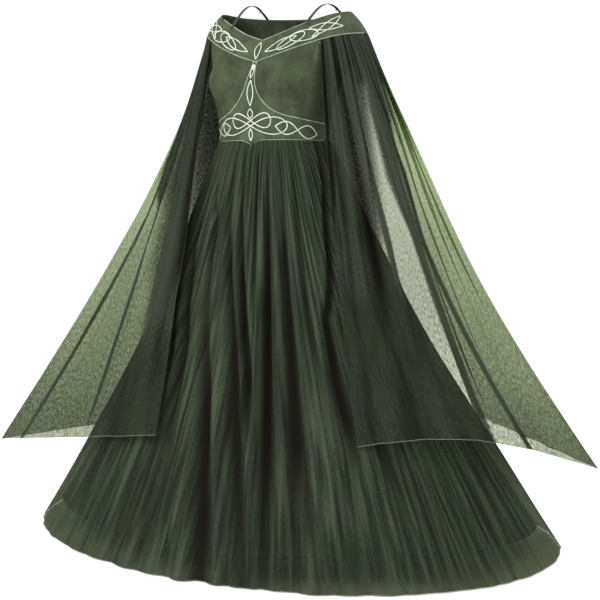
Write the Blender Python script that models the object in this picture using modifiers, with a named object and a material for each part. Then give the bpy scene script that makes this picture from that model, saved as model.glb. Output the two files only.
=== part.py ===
"""Floor-length off-the-shoulder dress with open cape sleeves, in its worn shape.

Metres, +Z up. The origin is midway between the tops of the two shoulder straps, where the
wearer's shoulders carry the dress. The front faces -Y and the wearer's left is +X. Angles round
the body run in degrees from the centre front towards the wearer's left.
"""

import math

import bpy
import numpy as np

# Heights of the dress, from the top of the straps
WAIST_Z = -0.362
LINING_HEM_Z = -1.340
UNDERARM_Z = -0.175

# Cloth thicknesses, the gap left at every seam and the gap under what lies on a panel
BAND_T = 0.0020
BODICE_T = 0.0015
CHIFFON_T = 0.0012
LINING_T = 0.0010
STRAP_T = 0.0012
ZIP_T = 0.0010
SEAM_GAP = 0.0004
HEM_GAP = 0.0008
LAYER_GAP = 0.0007

# The pose: above the waist the dress leans to the wearer's left, whose shoulder is lower
LEAN = 0.048
LEAN_SIDEWAYS = 0.025
LEAN_FROM_Z = -0.340
LEAN_FULL_Z = -0.130
# The heights in the tables are from the shoulder line, and the straps' tops are below it
STRAPS_MIDDLE_Z = -0.0061

# The neckline band on the wearer's left half: a point of each edge at each angle
BAND = np.array(
    [
        # angle, upper x, y, z, lower x, y, z
        (0, 0.000, -0.106, -0.110, 0.000, -0.138, -0.166),
        (20, 0.046, -0.107, -0.095, 0.052, -0.142, -0.151),
        (40, 0.092, -0.093, -0.074, 0.110, -0.127, -0.129),
        (58, 0.135, -0.068, -0.053, 0.165, -0.090, -0.105),
        (75, 0.169, -0.033, -0.036, 0.205, -0.045, -0.089),
        (90, 0.185, 0.008, -0.027, 0.228, 0.010, -0.081),
        (108, 0.179, 0.042, -0.027, 0.219, 0.052, -0.081),
        (125, 0.155, 0.066, -0.030, 0.180, 0.088, -0.086),
        (150, 0.085, 0.084, -0.033, 0.095, 0.106, -0.090),
        (180, 0.000, 0.088, -0.034, 0.000, 0.110, -0.092),
    ]
)
BAND_BOW = 0.004

# The bodice on a general figure: height, half width, front, back, squareness of the section
TORSO = np.array(
    [
        (-0.080, 0.172, -0.108, 0.098, 2.6),
        (-0.130, 0.168, -0.126, 0.106, 2.6),
        (-0.170, 0.164, -0.143, 0.106, 2.5),
        (-0.215, 0.168, -0.156, 0.102, 2.4),
        (-0.260, 0.155, -0.158, 0.094, 2.3),
        (-0.310, 0.147, -0.155, 0.085, 2.2),
        (-0.375, 0.146, -0.152, 0.081, 2.1),
    ]
)
CUP_DEPTH = 0.040
CUP_APEX_X = 0.104
CUP_APEX_Z = -0.212
CUP_SPREAD_X = 0.055
CUP_SPREAD_UP = 0.062
CUP_SPREAD_DOWN = 0.046
FRONT_ARMHOLE = 55.0
BACK_ARMHOLE = 125.0
PRINCESS_SEAM = 31.0
BLEND_DEPTH = 0.060

# The waistband and the strap that rises from it: half its angle, height of its edge, height of
# its middle. The last two rows run down the side seam.
WAISTBAND = np.array(
    [
        (1.75, -0.1660, -0.1660),
        (2.05, -0.2050, -0.2050),
        (2.90, -0.2250, -0.2250),
        (5.10, -0.2430, -0.2430),
        (8.40, -0.2580, -0.2590),
        (13.3, -0.2730, -0.2750),
        (21.0, -0.2880, -0.2910),
        (31.0, -0.2990, -0.3060),
        (44.0, -0.3060, -0.3200),
        (64.0, -0.3140, -0.3320),
        (90.0, -0.3200, -0.3420),
        (90.0, -0.3400, -0.3540),
        (90.0, -0.3620, -0.3620),
    ]
)
WAISTBAND_COLUMNS = 19
EDGE_ROWS = 11
PRINCESS_ROW = 7
WAIST_POINT_DROP = 0.011
WAIST_POINT_HALF = 0.030

# The skirt: height, half width, middle front to back, half depth, squareness
SKIRT = np.array(
    [
        (-0.350, 0.1470, -0.0355, 0.1165, 2.10),
        (-0.375, 0.1520, -0.0350, 0.1200, 2.10),
        (-0.400, 0.1660, -0.0330, 0.1310, 2.05),
        (-0.450, 0.1900, -0.0280, 0.1480, 2.00),
        (-0.550, 0.2340, -0.0200, 0.1800, 2.00),
        (-0.650, 0.2830, -0.0100, 0.2140, 2.00),
        (-0.760, 0.3370, 0.0000, 0.2500, 2.00),
        (-0.920, 0.4260, 0.0150, 0.3120, 2.00),
        (-1.060, 0.5150, 0.0280, 0.3760, 2.00),
        (-1.150, 0.5730, 0.0350, 0.4180, 2.00),
        (-1.300, 0.6680, 0.0430, 0.4870, 2.00),
        (-1.400, 0.7340, 0.0470, 0.5350, 2.00),
    ]
)
SKIRT_GATHERS = 54
SKIRT_TOP_OUT = 0.0030
GORE_GAP = 0.0009
GATHER_STEPS = 4
# Down the skirt: height, depth of the fine gathers, depth of the wide folds
SKIRT_ROWS = np.array(
    [
        (-0.362, 0.0018, 0.0000),
        (-0.390, 0.0028, 0.0005),
        (-0.460, 0.0034, 0.0030),
        (-0.600, 0.0032, 0.0080),
        (-0.830, 0.0018, 0.0140),
        (-1.120, 0.0006, 0.0180),
        (-1.400, 0.0000, 0.0200),
    ]
)
# The gores, each between two gathers counted from the centre front
SKIRT_GORES = {
    "skirt_front": (-5, 5),
    "skirt_side_left": (5, 14),
    "skirt_back_left": (14, 27),
    "skirt_back_right": (27, 40),
    "skirt_side_right": (40, 49),
}
# The lining under it: height, how far inside the skirt's sections it hangs
LINING = np.array([(-0.362, 0.0006), (-0.460, 0.013), (-0.700, 0.026), (-1.340, 0.036)])
LINING_ROWS = (-0.430, -0.580, -0.900, LINING_HEM_Z)
LINING_STEPS = 22
LINING_WAVE = 0.006
LINING_WAVES = 9

# Each cape sleeve: the corners of its hem, the arch of the hem over the skirt, how far the
# cloth sags inward at its edge and at its corners, and where on the way down it sags most
SLEEVES = {
    "left": {
        "front": (0.363, -0.280, -1.088),
        "tip": (0.885, -0.115, -1.116),
        "back": (0.340, 0.570, -1.150),
        "arch": 0.040,
        "sag": (0.048, 0.026),
        "sag_power": 1.30,
    },
    "right": {
        "front": (-0.134, -0.392, -1.088),
        "tip": (-0.830, -0.175, -1.202),
        "back": (-0.340, 0.570, -1.150),
        "arch": 0.000,
        "sag": (0.056, 0.016),
        "sag_power": 0.75,
    },
}
SLEEVE_GATHERS = 24
SLEEVE_FOLD = 12
SLEEVE_START = 1.2
SLEEVE_EDGE_GAP = 0.004
# Down a sleeve: share of its length, depth of the fine gathers, depth of the wide folds
SLEEVE_ROWS = np.array(
    [
        (0.00, 0.0016, 0.0000),
        (0.03, 0.0024, 0.0010),
        (0.12, 0.0036, 0.0040),
        (0.30, 0.0030, 0.0100),
        (0.52, 0.0012, 0.0130),
        (0.78, 0.0000, 0.0090),
        (1.00, 0.0000, 0.0060),
    ]
)

# The shoulder straps: where each starts on the band, front and back, and its arch
STRAPS = {"left": (50.0, 132.0), "right": (42.0, 146.0)}
STRAP_WIDTH = 0.008
STRAP_TOP_Z = -0.0076
STRAP_TUCK = 0.16
STRAP_STEPS = 14
ZIP_HALF_ANGLE = 3.5
SLIDE_STEP = 13
SLIDE_HALF_LENGTH = 0.0034
SLIDE_BAR = 0.0011
SLIDE_GAP = 0.0004

COLOURS = {
    "bodice_crepe": ((0.065, 0.085, 0.042), 0.85),
    "band_crepe": ((0.050, 0.068, 0.036), 0.85),
    "chiffon": ((0.022, 0.034, 0.022), 0.90),
    "lining": ((0.012, 0.017, 0.011), 0.80),
    "strap": ((0.020, 0.026, 0.018), 0.75),
    "zip_tape": ((0.008, 0.009, 0.008), 0.70),
    "slide_metal": ((0.62, 0.64, 0.60), 0.35),
}


def smooth(table, column, at):
    """A column of a table read at any value of its first column, on a smooth curve."""
    xs = table[:, 0]
    ys = table[:, column]
    if xs[0] > xs[-1]:
        xs, ys = xs[::-1], ys[::-1]
    slopes = np.gradient(ys, xs)
    at = np.clip(np.asarray(at, float), xs[0], xs[-1])
    i = np.clip(np.searchsorted(xs, at, side="right") - 1, 0, len(xs) - 2)
    step = xs[i + 1] - xs[i]
    t = (at - xs[i]) / step
    start = (1 + 2 * t) * (1 - t) ** 2 * ys[i] + t * (1 - t) ** 2 * step * slopes[i]
    end = t * t * (3 - 2 * t) * ys[i + 1] + t * t * (t - 1) * step * slopes[i + 1]
    return start + end


def unit(v):
    return v / np.linalg.norm(v, axis=-1, keepdims=True)


def ease(t):
    t = np.clip(t, 0, 1)
    return t * t * (3 - 2 * t)


def normals_of(points):
    """The outward normals of a grid whose rows run down and whose columns run to the left."""
    down = np.gradient(points, axis=0)
    across = np.gradient(points, axis=1)
    return unit(np.cross(down, across))


def section(angle, half, middle, deep, squareness):
    """The x and y of a section of the body at an angle."""
    angle = np.radians(angle)
    power = 2 / squareness
    x = half * np.sign(np.sin(angle)) * np.abs(np.sin(angle)) ** power
    y = middle - deep * np.sign(np.cos(angle)) * np.abs(np.cos(angle)) ** power
    return x, y


def worn(points):
    """The points as worn: leaned above the waist, and measured from the straps' tops."""
    above = points[..., 2] - LEAN_FROM_Z
    share = ease(above / (LEAN_FULL_Z - LEAN_FROM_Z))
    side = LEAN_SIDEWAYS * above * share
    drop = LEAN * points[..., 0] * share + STRAPS_MIDDLE_Z
    return points + np.stack([side, 0 * side, -drop], -1)


def band_point(angle, across):
    """A point of the neckline band: across is 0 on its upper edge and 1 on its lower."""
    angle = np.asarray(angle, float)
    across = np.asarray(across, float)[..., None]
    half = np.abs(angle)
    upper = np.stack([smooth(BAND, c, half) for c in (1, 2, 3)], -1)
    lower = np.stack([smooth(BAND, c, half) for c in (4, 5, 6)], -1)
    point = upper * (1 - across) + lower * across
    out = unit(point * (1, 1, 0) + (0, 1e-9, 0))
    point = point + out * BAND_BOW * 4 * across * (1 - across)
    point[..., 0] *= np.where(angle < 0, -1, 1)
    return point


def below_band(angle, gap):
    """The points a gap below the band's lower edge, in the band's own slope."""
    edge = band_point(angle, np.ones_like(angle))
    above = band_point(angle, np.full_like(angle, 0.85))
    return edge + unit(edge - above) * gap


def torso_point(angle, z):
    """A point of the bodice on a general figure, with the cups that its seams and darts give."""
    front = smooth(TORSO, 2, z)
    back = smooth(TORSO, 3, z)
    half, squareness = smooth(TORSO, 1, z), smooth(TORSO, 4, z)
    x, y = section(angle, half, (front + back) / 2, (back - front) / 2, squareness)
    spread = np.where(z > CUP_APEX_Z, CUP_SPREAD_UP, CUP_SPREAD_DOWN)
    rise = np.exp(-(((z - CUP_APEX_Z) / spread) ** 2))
    side = np.exp(-(((np.abs(x) - CUP_APEX_X) / CUP_SPREAD_X) ** 2))
    facing = np.clip(np.cos(np.radians(angle)), 0, 1) ** 0.5
    y = y - CUP_DEPTH * rise * side * facing
    return np.stack([x, y, np.broadcast_to(z, x.shape)], -1)


def waist_z(angle):
    """The waist seam, which drops to a small point at the centre front."""
    across = 0.147 * np.sin(np.radians(angle))
    front = np.cos(np.radians(angle)) > 0
    near = np.clip(1 - np.abs(across) / WAIST_POINT_HALF, 0, 1)
    return WAIST_Z - WAIST_POINT_DROP * near**1.5 * front


def bodice_top(angle):
    """The top edge of the bodice: seamed to the band, and open round the armholes."""
    half = np.abs(angle)
    sign = np.where(angle < 0, -1, 1)
    held = np.where(half < 90, np.minimum(half, FRONT_ARMHOLE), np.maximum(half, BACK_ARMHOLE))
    seam = below_band(held * sign, HEM_GAP)
    front = (half - FRONT_ARMHOLE) / (90 - FRONT_ARMHOLE)
    back = (BACK_ARMHOLE - half) / (BACK_ARMHOLE - 90)
    scoop = np.clip(np.where(half < 90, front, back), 0, 1)
    z = seam[..., 2] + (UNDERARM_Z - seam[..., 2]) * np.sin(scoop * math.pi / 2) ** 0.8
    offset = (seam - torso_point(held * sign, seam[..., 2])) * (1 - scoop)[..., None]
    return z, offset


def bodice_point(angle, z):
    """A point of the bodice, drawn out to meet the band at the top."""
    top, offset = bodice_top(angle)
    weight = ease(1 - (top - z) / BLEND_DEPTH)
    return torso_point(angle, z) + offset * weight[..., None]


def drawn_in(points, gap):
    """The grid with its first and last columns drawn in by half of a seam's gap."""
    points = points.copy()
    for edge, inner in ((0, 1), (-1, -2)):
        points[:, edge] += unit(points[:, inner] - points[:, edge]) * gap / 2
    return points


def waistband_edge(at, gap):
    """The angle and height of the waistband's upper edge at a row, a gap outside it."""
    rows = np.arange(EDGE_ROWS)
    angle = np.interp(at, rows, WAISTBAND[:EDGE_ROWS, 0])
    z = np.interp(at, rows, WAISTBAND[:EDGE_ROWS, 1])
    metres = math.radians(TORSO[4, 1])
    turn = np.gradient(angle) * metres
    drop = np.gradient(z)
    length = np.hypot(turn, drop)
    return angle - drop / length * gap / metres, z + turn / length * gap


def bodice_front(sign):
    """The panel between the centre strap, the band, the princess seam and the waistband."""
    foot_angle, foot_z = waistband_edge(np.linspace(1, PRINCESS_ROW, 9), HEM_GAP)
    foot_angle[-1] = PRINCESS_SEAM
    head_angle = np.linspace(foot_angle[0] - 0.2, PRINCESS_SEAM, 9)
    head_z, _ = bodice_top(head_angle)
    share = np.linspace(0, 1, 9)[:, None]
    angle = head_angle + (foot_angle - head_angle) * share
    z = head_z + (foot_z - head_z) * share
    return drawn_in(bodice_point(angle * sign, z), SEAM_GAP)


def bodice_panel(first, last, columns):
    """A side or back panel of the bodice, from its top edge to the waistband."""
    angles = np.linspace(first, last, columns)
    share = np.linspace(0, 1, 9)[:, None]
    top, _ = bodice_top(angles)
    foot = np.interp(np.abs(angles), WAISTBAND[:EDGE_ROWS, 0], WAISTBAND[:EDGE_ROWS, 1]) + HEM_GAP
    z = top + (foot - top) * share
    return drawn_in(bodice_point(np.broadcast_to(angles, z.shape), z), SEAM_GAP)


def band_grid(first, last, columns, rows):
    angles = np.linspace(first, last, columns)
    across = np.linspace(0, 1, rows)[:, None]
    shape = (rows, columns)
    points = band_point(np.broadcast_to(angles, shape), np.broadcast_to(across, shape))
    return drawn_in(points, SEAM_GAP)


def waistband_front():
    """The waistband with the strap that rises from it to the neckline, in one piece."""
    share = np.linspace(-1, 1, WAISTBAND_COLUMNS)
    half, edge, middle = (WAISTBAND[:, c][:, None] for c in range(3))
    angle = half * share
    z = edge + (middle - edge) * (1 - share**2)
    z[0] = bodice_top(angle[0])[0]
    z[-1] = waist_z(angle[-1])
    return drawn_in(bodice_point(angle, z), SEAM_GAP)


def waistband_back(sign):
    angles = np.linspace(sign * 90, sign * 180, 12)
    z = np.linspace(WAISTBAND[EDGE_ROWS - 1, 1], WAIST_Z, 4)[:, None]
    z = np.broadcast_to(z, (4, len(angles)))
    return drawn_in(bodice_point(np.broadcast_to(angles, z.shape), z), SEAM_GAP)


def zip_tape():
    """The tape of the closed concealed zip, inside the centre back."""
    angles = 180 + np.array([-1, 0, 1]) * ZIP_HALF_ANGLE
    angles = (angles + 180) % 360 - 180
    across = np.linspace(0.06, 0.97, 4)[:, None]
    shape = (4, 3)
    on_band = band_point(np.broadcast_to(angles, shape), np.broadcast_to(across, shape))
    top, _ = bodice_top(angles)
    z = top - 0.002 + (WAIST_Z + 0.002 - top) * np.linspace(0, 1, 6)[:, None]
    points = np.concatenate([on_band, bodice_point(np.broadcast_to(angles, z.shape), z)])
    return points - normals_of(points) * (BAND_T / 2 + LAYER_GAP + ZIP_T / 2)


def skirt_angle(gather):
    """The angle of a gather, with the uneven spacing of real folds."""
    turn = 2 * math.pi * gather / SKIRT_GATHERS
    uneven = 0.030 * np.sin(3 * turn + 0.7) + 0.018 * np.sin(7 * turn + 2.1)
    return np.degrees(turn + uneven)


def skirt_ring(angle, z):
    half, middle, deep, squareness = (smooth(SKIRT, c, z) for c in (1, 2, 3, 4))
    x, y = section(angle, half, middle, deep, squareness)
    return np.stack([x, y, np.broadcast_to(z, x.shape)], -1)


def skirt_out(angle, z):
    """The level direction out of the skirt at an angle, square to its section."""
    across = skirt_ring(angle + 0.5, z) - skirt_ring(angle - 0.5, z)
    return unit(np.stack([across[..., 1], -across[..., 0], 0 * across[..., 0]], -1))


def fold_strength(angle):
    """The wide folds are deepest over the front, to the left of the centre, and at the back."""
    front = (angle - 12 + 180) % 360 - 180
    back = (angle - 185 + 180) % 360 - 180
    return 0.35 + 0.75 * np.exp(-((front / 38) ** 2)) + 0.55 * np.exp(-((back / 50) ** 2))


def skirt_gore(first, last):
    """One gore of the gathered skirt, as a grid of points."""
    gathers = np.arange(first * GATHER_STEPS, last * GATHER_STEPS + 1) / GATHER_STEPS + 0.25
    heights, fine, wide = (SKIRT_ROWS[:, c][:, None] for c in range(3))
    angles = np.broadcast_to(skirt_angle(gathers), (len(heights), len(gathers)))
    z = np.broadcast_to(heights, angles.shape).copy()
    z[0] = waist_z((angles[0] + 180) % 360 - 180) - HEM_GAP
    waves = np.cos(math.pi * gathers + 0.6 * np.sin(0.9 * gathers)) * fold_strength(angles)
    depth = SKIRT_TOP_OUT + fine * np.cos(2 * math.pi * gathers) + wide * waves
    points = skirt_ring(angles, z) + skirt_out(angles, z) * depth[..., None]
    return drawn_in(points, GORE_GAP)


def lining_half(first, last):
    """Half of the lining, hung inside the skirt from the waistband's lower edge."""
    heights = np.array((WAIST_Z, *LINING_ROWS))[:, None]
    angles = np.linspace(first, last, LINING_STEPS + 1)
    angles = np.broadcast_to(angles, (len(heights), LINING_STEPS + 1))
    z = np.broadcast_to(heights, angles.shape).copy()
    z[0] = waist_z((angles[0] + 180) % 360 - 180) - 2 * HEM_GAP
    waves = LINING_WAVE * np.cos(LINING_WAVES * np.radians(angles)) * ease((-0.45 - z) / 0.3)
    depth = smooth(LINING, 1, z) + waves
    points = skirt_ring(angles, z) - skirt_out(angles, z) * depth[..., None]
    return drawn_in(points, SEAM_GAP)


def sleeve_share(side, share):
    """The hem at a share of its way from the front corner, by the tip, to the back corner."""
    sizes = SLEEVES[side]
    front, tip, back = (np.array(sizes[key]) for key in ("front", "tip", "back"))
    fold = SLEEVE_FOLD / SLEEVE_GATHERS
    before, after = share / fold, (share - fold) / (1 - fold)
    line = np.where((share <= fold)[:, None], front + (tip - front) * before[:, None], 0)
    line = np.where((share > fold)[:, None], tip + (back - tip) * after[:, None], line)
    line[:, 2] += sizes["arch"] * np.sin(math.pi * np.clip(before, 0, 1))
    return line


def sleeve_panel(side, first, last):
    """The front or the back of a cape sleeve, gathered into the band over the shoulder."""
    sizes = SLEEVES[side]
    sign = 1 if side == "left" else -1
    gathers = np.arange(first * GATHER_STEPS, last * GATHER_STEPS + 1) / GATHER_STEPS
    share = gathers / SLEEVE_GATHERS
    start, end = FRONT_ARMHOLE + SLEEVE_START, BACK_ARMHOLE - SLEEVE_START
    angles = (start + (end - start) * share) * sign
    top = below_band(angles, SEAM_GAP + CHIFFON_T / 2)
    down = unit(top - band_point(angles, np.full_like(angles, 0.85)))
    out = unit(np.cross(down, np.gradient(top, axis=0))) * sign
    hem = sleeve_share(side, share)
    fold = np.exp(-(((share - SLEEVE_FOLD / SLEEVE_GATHERS) / 0.22) ** 2))
    edge_sag, corner_sag = sizes["sag"]
    sag = corner_sag + (edge_sag - corner_sag) * fold
    inward = -unit((hem - top) * (1, 1, 0))
    ends = ease(np.minimum(share, 1 - share) / 0.06) * (1 - 0.6 * fold)
    waves = np.cos(math.pi * 0.8 * gathers + 0.9 * np.sin(0.5 * gathers)) * ends
    grid = []
    for length, fine, wide in SLEEVE_ROWS:
        line = top * (1 - length) + hem * length
        line = line + inward * (sag * math.sin(math.pi * length ** sizes["sag_power"]))[:, None]
        across = np.gradient(line, axis=0) * sign
        level = unit(np.stack([across[:, 1], -across[:, 0], 0 * across[:, 0]], -1))
        blend = min(1, length * 8)
        way = unit(out * (1 - blend) + level * blend)
        depth = fine * np.cos(2 * math.pi * gathers) + wide * waves
        grid.append(line + way * depth[:, None])
    grid = np.array(grid)
    return drawn_in(grid, SLEEVE_EDGE_GAP) if first else drawn_in(grid, SEAM_GAP)


def strap_lines(side):
    """The middle of a strap and the direction of its width, from the front to the back."""
    sign = 1 if side == "left" else -1
    inside = BAND_T / 2 + LAYER_GAP + STRAP_T / 2
    ends, tangents = [], []
    for angle in STRAPS[side]:
        steps = np.array([STRAP_TUCK, STRAP_TUCK / 2, 0.0])
        edge = band_point(np.full(3, angle * sign), steps)
        tangent = unit(band_point((angle + 1) * sign, 0.1) - band_point((angle - 1) * sign, 0.1))
        inward = unit(np.cross(edge[0] - edge[-1], tangent)) * sign
        ends.append(edge + inward * inside)
        tangents.append(tangent * sign)
    front, back = ends
    turn = np.linspace(0, math.pi, STRAP_STEPS + 1)[1:-1, None]
    share = turn / math.pi
    rise = STRAP_TOP_Z - (front[-1, 2] + back[-1, 2]) / 2
    arch = front[-1] + (back[-1] - front[-1]) * share
    arch[:, 2:] += rise * np.sin(turn)
    middle = np.concatenate([front, arch, back[::-1]])
    share = np.concatenate([np.zeros(3), share[:, 0], np.ones(3)])[:, None]
    over = np.array([1.0, 0.0, 0.0])
    width = tangents[0] * ease(1 - share * 4) - tangents[1] * ease(share * 4 - 3)
    width = width + over * (1 - ease(1 - share * 4) - ease(share * 4 - 3))
    along = unit(np.gradient(middle, axis=0))
    return middle, unit(width - along * np.sum(along * width, axis=1, keepdims=True)), along


def strap_grid(side):
    middle, width, _ = strap_lines(side)
    width = width * STRAP_WIDTH / 2
    return np.stack([middle - width, middle + width], axis=1)


def slide_mesh(side):
    """A strap slide: two rails beside the strap, two bars over it and one bar behind it."""
    rail = STRAP_WIDTH / 2 + SLIDE_GAP
    face = STRAP_T / 2 + SLIDE_GAP
    us = (-rail - SLIDE_BAR, -rail, rail, rail + SLIDE_BAR)
    end = SLIDE_HALF_LENGTH
    vs = (-end, -end + SLIDE_BAR, -SLIDE_BAR / 2, SLIDE_BAR / 2, end - SLIDE_BAR, end)
    ws = (-face - SLIDE_BAR, -face, face, face + SLIDE_BAR)
    filled = {(i, j, k) for i in (0, 2) for j in range(5) for k in range(3)}
    filled |= {(1, 0, 2), (1, 4, 2), (1, 2, 0)}
    corners, faces = {}, []
    for cell in filled:
        for axis in range(3):
            for step in (0, 1):
                beside = list(cell)
                beside[axis] += 2 * step - 1
                if tuple(beside) in filled:
                    continue
                a, b = [other for other in range(3) if other != axis]
                loop = []
                for da, db in ((0, 0), (1, 0), (1, 1), (0, 1)):
                    at = list(cell)
                    at[axis] += step
                    at[a] += da
                    at[b] += db
                    loop.append(corners.setdefault(tuple(at), len(corners)))
                faces.append(loop if (step == 1) == (axis != 1) else loop[::-1])
    middle, width, _ = strap_lines(side)
    centre = (middle[SLIDE_STEP] + middle[SLIDE_STEP + 1]) / 2
    along = unit(middle[SLIDE_STEP + 1] - middle[SLIDE_STEP])
    across = unit(width[SLIDE_STEP] + width[SLIDE_STEP + 1])
    out = unit(np.cross(across, along))
    points = [centre + across * us[i] + along * vs[j] + out * ws[k] for i, j, k in corners]
    return np.array(points), faces


def material_named(name):
    colour, roughness = COLOURS[name]
    material = bpy.data.materials.get(name) or bpy.data.materials.new(name)
    material.use_nodes = True
    shader = material.node_tree.nodes["Principled BSDF"]
    shader.inputs["Base Color"].default_value = (*colour, 1)
    shader.inputs["Roughness"].default_value = roughness
    shader.inputs["Metallic"].default_value = 1.0 if name == "slide_metal" else 0.0
    return material


def add_object(name, points, faces, material, collection):
    mesh = bpy.data.meshes.new(name)
    mesh.from_pydata(worn(points).tolist(), [], faces)
    mesh.materials.append(material_named(material))
    piece = bpy.data.objects.new(name, mesh)
    collection.objects.link(piece)
    return piece


def cloth(name, points, thickness, material, collection):
    """A cloth panel: the open surface through a grid of points, with Solidify for its wall."""
    rows, columns = points.shape[:2]
    faces = [
        (r * columns + c, (r + 1) * columns + c, (r + 1) * columns + c + 1, r * columns + c + 1)
        for r in range(rows - 1)
        for c in range(columns - 1)
    ]
    panel = add_object(name, points.reshape(-1, 3), faces, material, collection)
    panel.data.shade_smooth()
    wall = panel.modifiers.new("Wall", "SOLIDIFY")
    wall.thickness = thickness
    wall.offset = 0


def build_bodice(collection):
    for side, sign in (("left", 1), ("right", -1)):
        panels = {
            f"bodice_front_{side}": bodice_front(sign),
            f"bodice_side_{side}": bodice_panel(sign * PRINCESS_SEAM, sign * 90, 12),
            f"bodice_back_{side}": bodice_panel(sign * 90, sign * 180, 11),
        }
        for name, grid in panels.items():
            cloth(name, grid, BODICE_T, "bodice_crepe", collection)
    cloth("back_zip", zip_tape(), ZIP_T, "zip_tape", collection)


def build_bands(collection):
    cloth("neck_band_front", band_grid(-90, 90, 33, 4), BAND_T, "band_crepe", collection)
    cloth("waistband_front", waistband_front(), BODICE_T, "band_crepe", collection)
    for side, sign in (("left", 1), ("right", -1)):
        back = band_grid(sign * 90, sign * 180, 15, 4)
        cloth(f"neck_band_back_{side}", back, BAND_T, "band_crepe", collection)
        cloth(f"waistband_back_{side}", waistband_back(sign), BODICE_T, "band_crepe", collection)


def build_skirt(collection):
    for name, (first, last) in SKIRT_GORES.items():
        cloth(name, skirt_gore(first, last), CHIFFON_T, "chiffon", collection)
    cloth("lining_front", lining_half(-90, 90), LINING_T, "lining", collection)
    cloth("lining_back", lining_half(90, 270), LINING_T, "lining", collection)


def build_sleeves(collection):
    for side in SLEEVES:
        front = sleeve_panel(side, 0, SLEEVE_FOLD)
        back = sleeve_panel(side, SLEEVE_FOLD, SLEEVE_GATHERS)
        cloth(f"sleeve_front_{side}", front, CHIFFON_T, "chiffon", collection)
        cloth(f"sleeve_back_{side}", back, CHIFFON_T, "chiffon", collection)


def build_straps(collection):
    for side in STRAPS:
        cloth(f"strap_{side}", strap_grid(side), STRAP_T, "strap", collection)
        add_object(f"strap_slide_{side}", *slide_mesh(side), "slide_metal", collection)


def main():
    for old in list(bpy.data.objects):
        bpy.data.objects.remove(old)
    dress = bpy.data.collections.new("dress")
    bpy.context.scene.collection.children.link(dress)
    build_bodice(dress)
    build_bands(dress)
    build_skirt(dress)
    build_sleeves(dress)
    build_straps(dress)


main()
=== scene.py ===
"""Looks of the off-the-shoulder dress: dense cloth, cords, piping, rolled hems and finishes.

Metres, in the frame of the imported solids: +Z up, the front faces -Y, the wearer's left is +X.
Each cloth piece is a thin shell on the form of its solid, worked out from the same tables, with
the creases that are too fine for the solid.
"""

import math

import bpy
import numpy as np
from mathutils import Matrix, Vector, noise


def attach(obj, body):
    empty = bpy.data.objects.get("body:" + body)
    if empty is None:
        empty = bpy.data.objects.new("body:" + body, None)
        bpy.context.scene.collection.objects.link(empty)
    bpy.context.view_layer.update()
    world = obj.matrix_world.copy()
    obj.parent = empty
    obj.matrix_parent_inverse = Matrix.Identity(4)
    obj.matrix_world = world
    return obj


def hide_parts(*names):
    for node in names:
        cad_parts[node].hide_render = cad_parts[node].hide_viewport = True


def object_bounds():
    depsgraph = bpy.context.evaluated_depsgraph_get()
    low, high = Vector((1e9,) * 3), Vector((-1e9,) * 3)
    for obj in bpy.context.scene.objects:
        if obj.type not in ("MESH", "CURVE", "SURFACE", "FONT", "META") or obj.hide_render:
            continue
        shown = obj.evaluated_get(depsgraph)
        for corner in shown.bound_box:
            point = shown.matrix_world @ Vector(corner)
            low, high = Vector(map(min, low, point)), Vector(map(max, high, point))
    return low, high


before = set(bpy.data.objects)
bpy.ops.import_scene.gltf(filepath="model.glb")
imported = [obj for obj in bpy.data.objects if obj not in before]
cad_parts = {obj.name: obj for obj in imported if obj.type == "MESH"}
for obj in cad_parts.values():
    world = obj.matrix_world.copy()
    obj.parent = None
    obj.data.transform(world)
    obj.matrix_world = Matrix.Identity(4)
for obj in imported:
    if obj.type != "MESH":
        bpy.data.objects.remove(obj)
CAD_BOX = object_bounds()

# The view of the photograph: the camera's turn to the wearer's left, its height angle, its
# distance from the point it looks at, and its lens on a sensor 36 mm wide
CAMERA_TURN = math.radians(28.6)
CAMERA_RISE = math.radians(4.9)
CAMERA_DISTANCE = 3.23
CAMERA_LENS = 72.72
CAMERA_SENSOR = 36.0
AIM_SIDEWAYS = 0.05
AIM_Z = -0.7729

# Heights, from the top of the straps
WAIST_Z = -0.362
HEM_Z = -1.400
LINING_HEM_Z = -1.340
UNDERARM_Z = -0.175
FLOOR_DROP = 0.004

# Cloth thicknesses and gaps, as in the solids
BAND_T = 0.0020
BODICE_T = 0.0015
CHIFFON_T = 0.0012
LINING_T = 0.0010
STRAP_T = 0.0012
ZIP_T = 0.0010
SEAM_GAP = 0.0004
HEM_GAP = 0.0008
LAYER_GAP = 0.0007

# The pose: above the waist the dress leans to the wearer's left
LEAN = 0.048
LEAN_SIDEWAYS = 0.025
LEAN_FROM_Z = -0.340
LEAN_FULL_Z = -0.130
STRAPS_MIDDLE_Z = -0.0061

# The neckline band on the wearer's left half: a point of each edge at each angle
BAND = np.array(
    [
        # angle, upper x, y, z, lower x, y, z
        (0, 0.000, -0.106, -0.110, 0.000, -0.138, -0.166),
        (20, 0.046, -0.107, -0.095, 0.052, -0.142, -0.151),
        (40, 0.092, -0.093, -0.074, 0.110, -0.127, -0.129),
        (58, 0.135, -0.068, -0.053, 0.165, -0.090, -0.105),
        (75, 0.169, -0.033, -0.036, 0.205, -0.045, -0.089),
        (90, 0.185, 0.008, -0.027, 0.228, 0.010, -0.081),
        (108, 0.179, 0.042, -0.027, 0.219, 0.052, -0.081),
        (125, 0.155, 0.066, -0.030, 0.180, 0.088, -0.086),
        (150, 0.085, 0.084, -0.033, 0.095, 0.106, -0.090),
        (180, 0.000, 0.088, -0.034, 0.000, 0.110, -0.092),
    ]
)
BAND_BOW = 0.004

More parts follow.
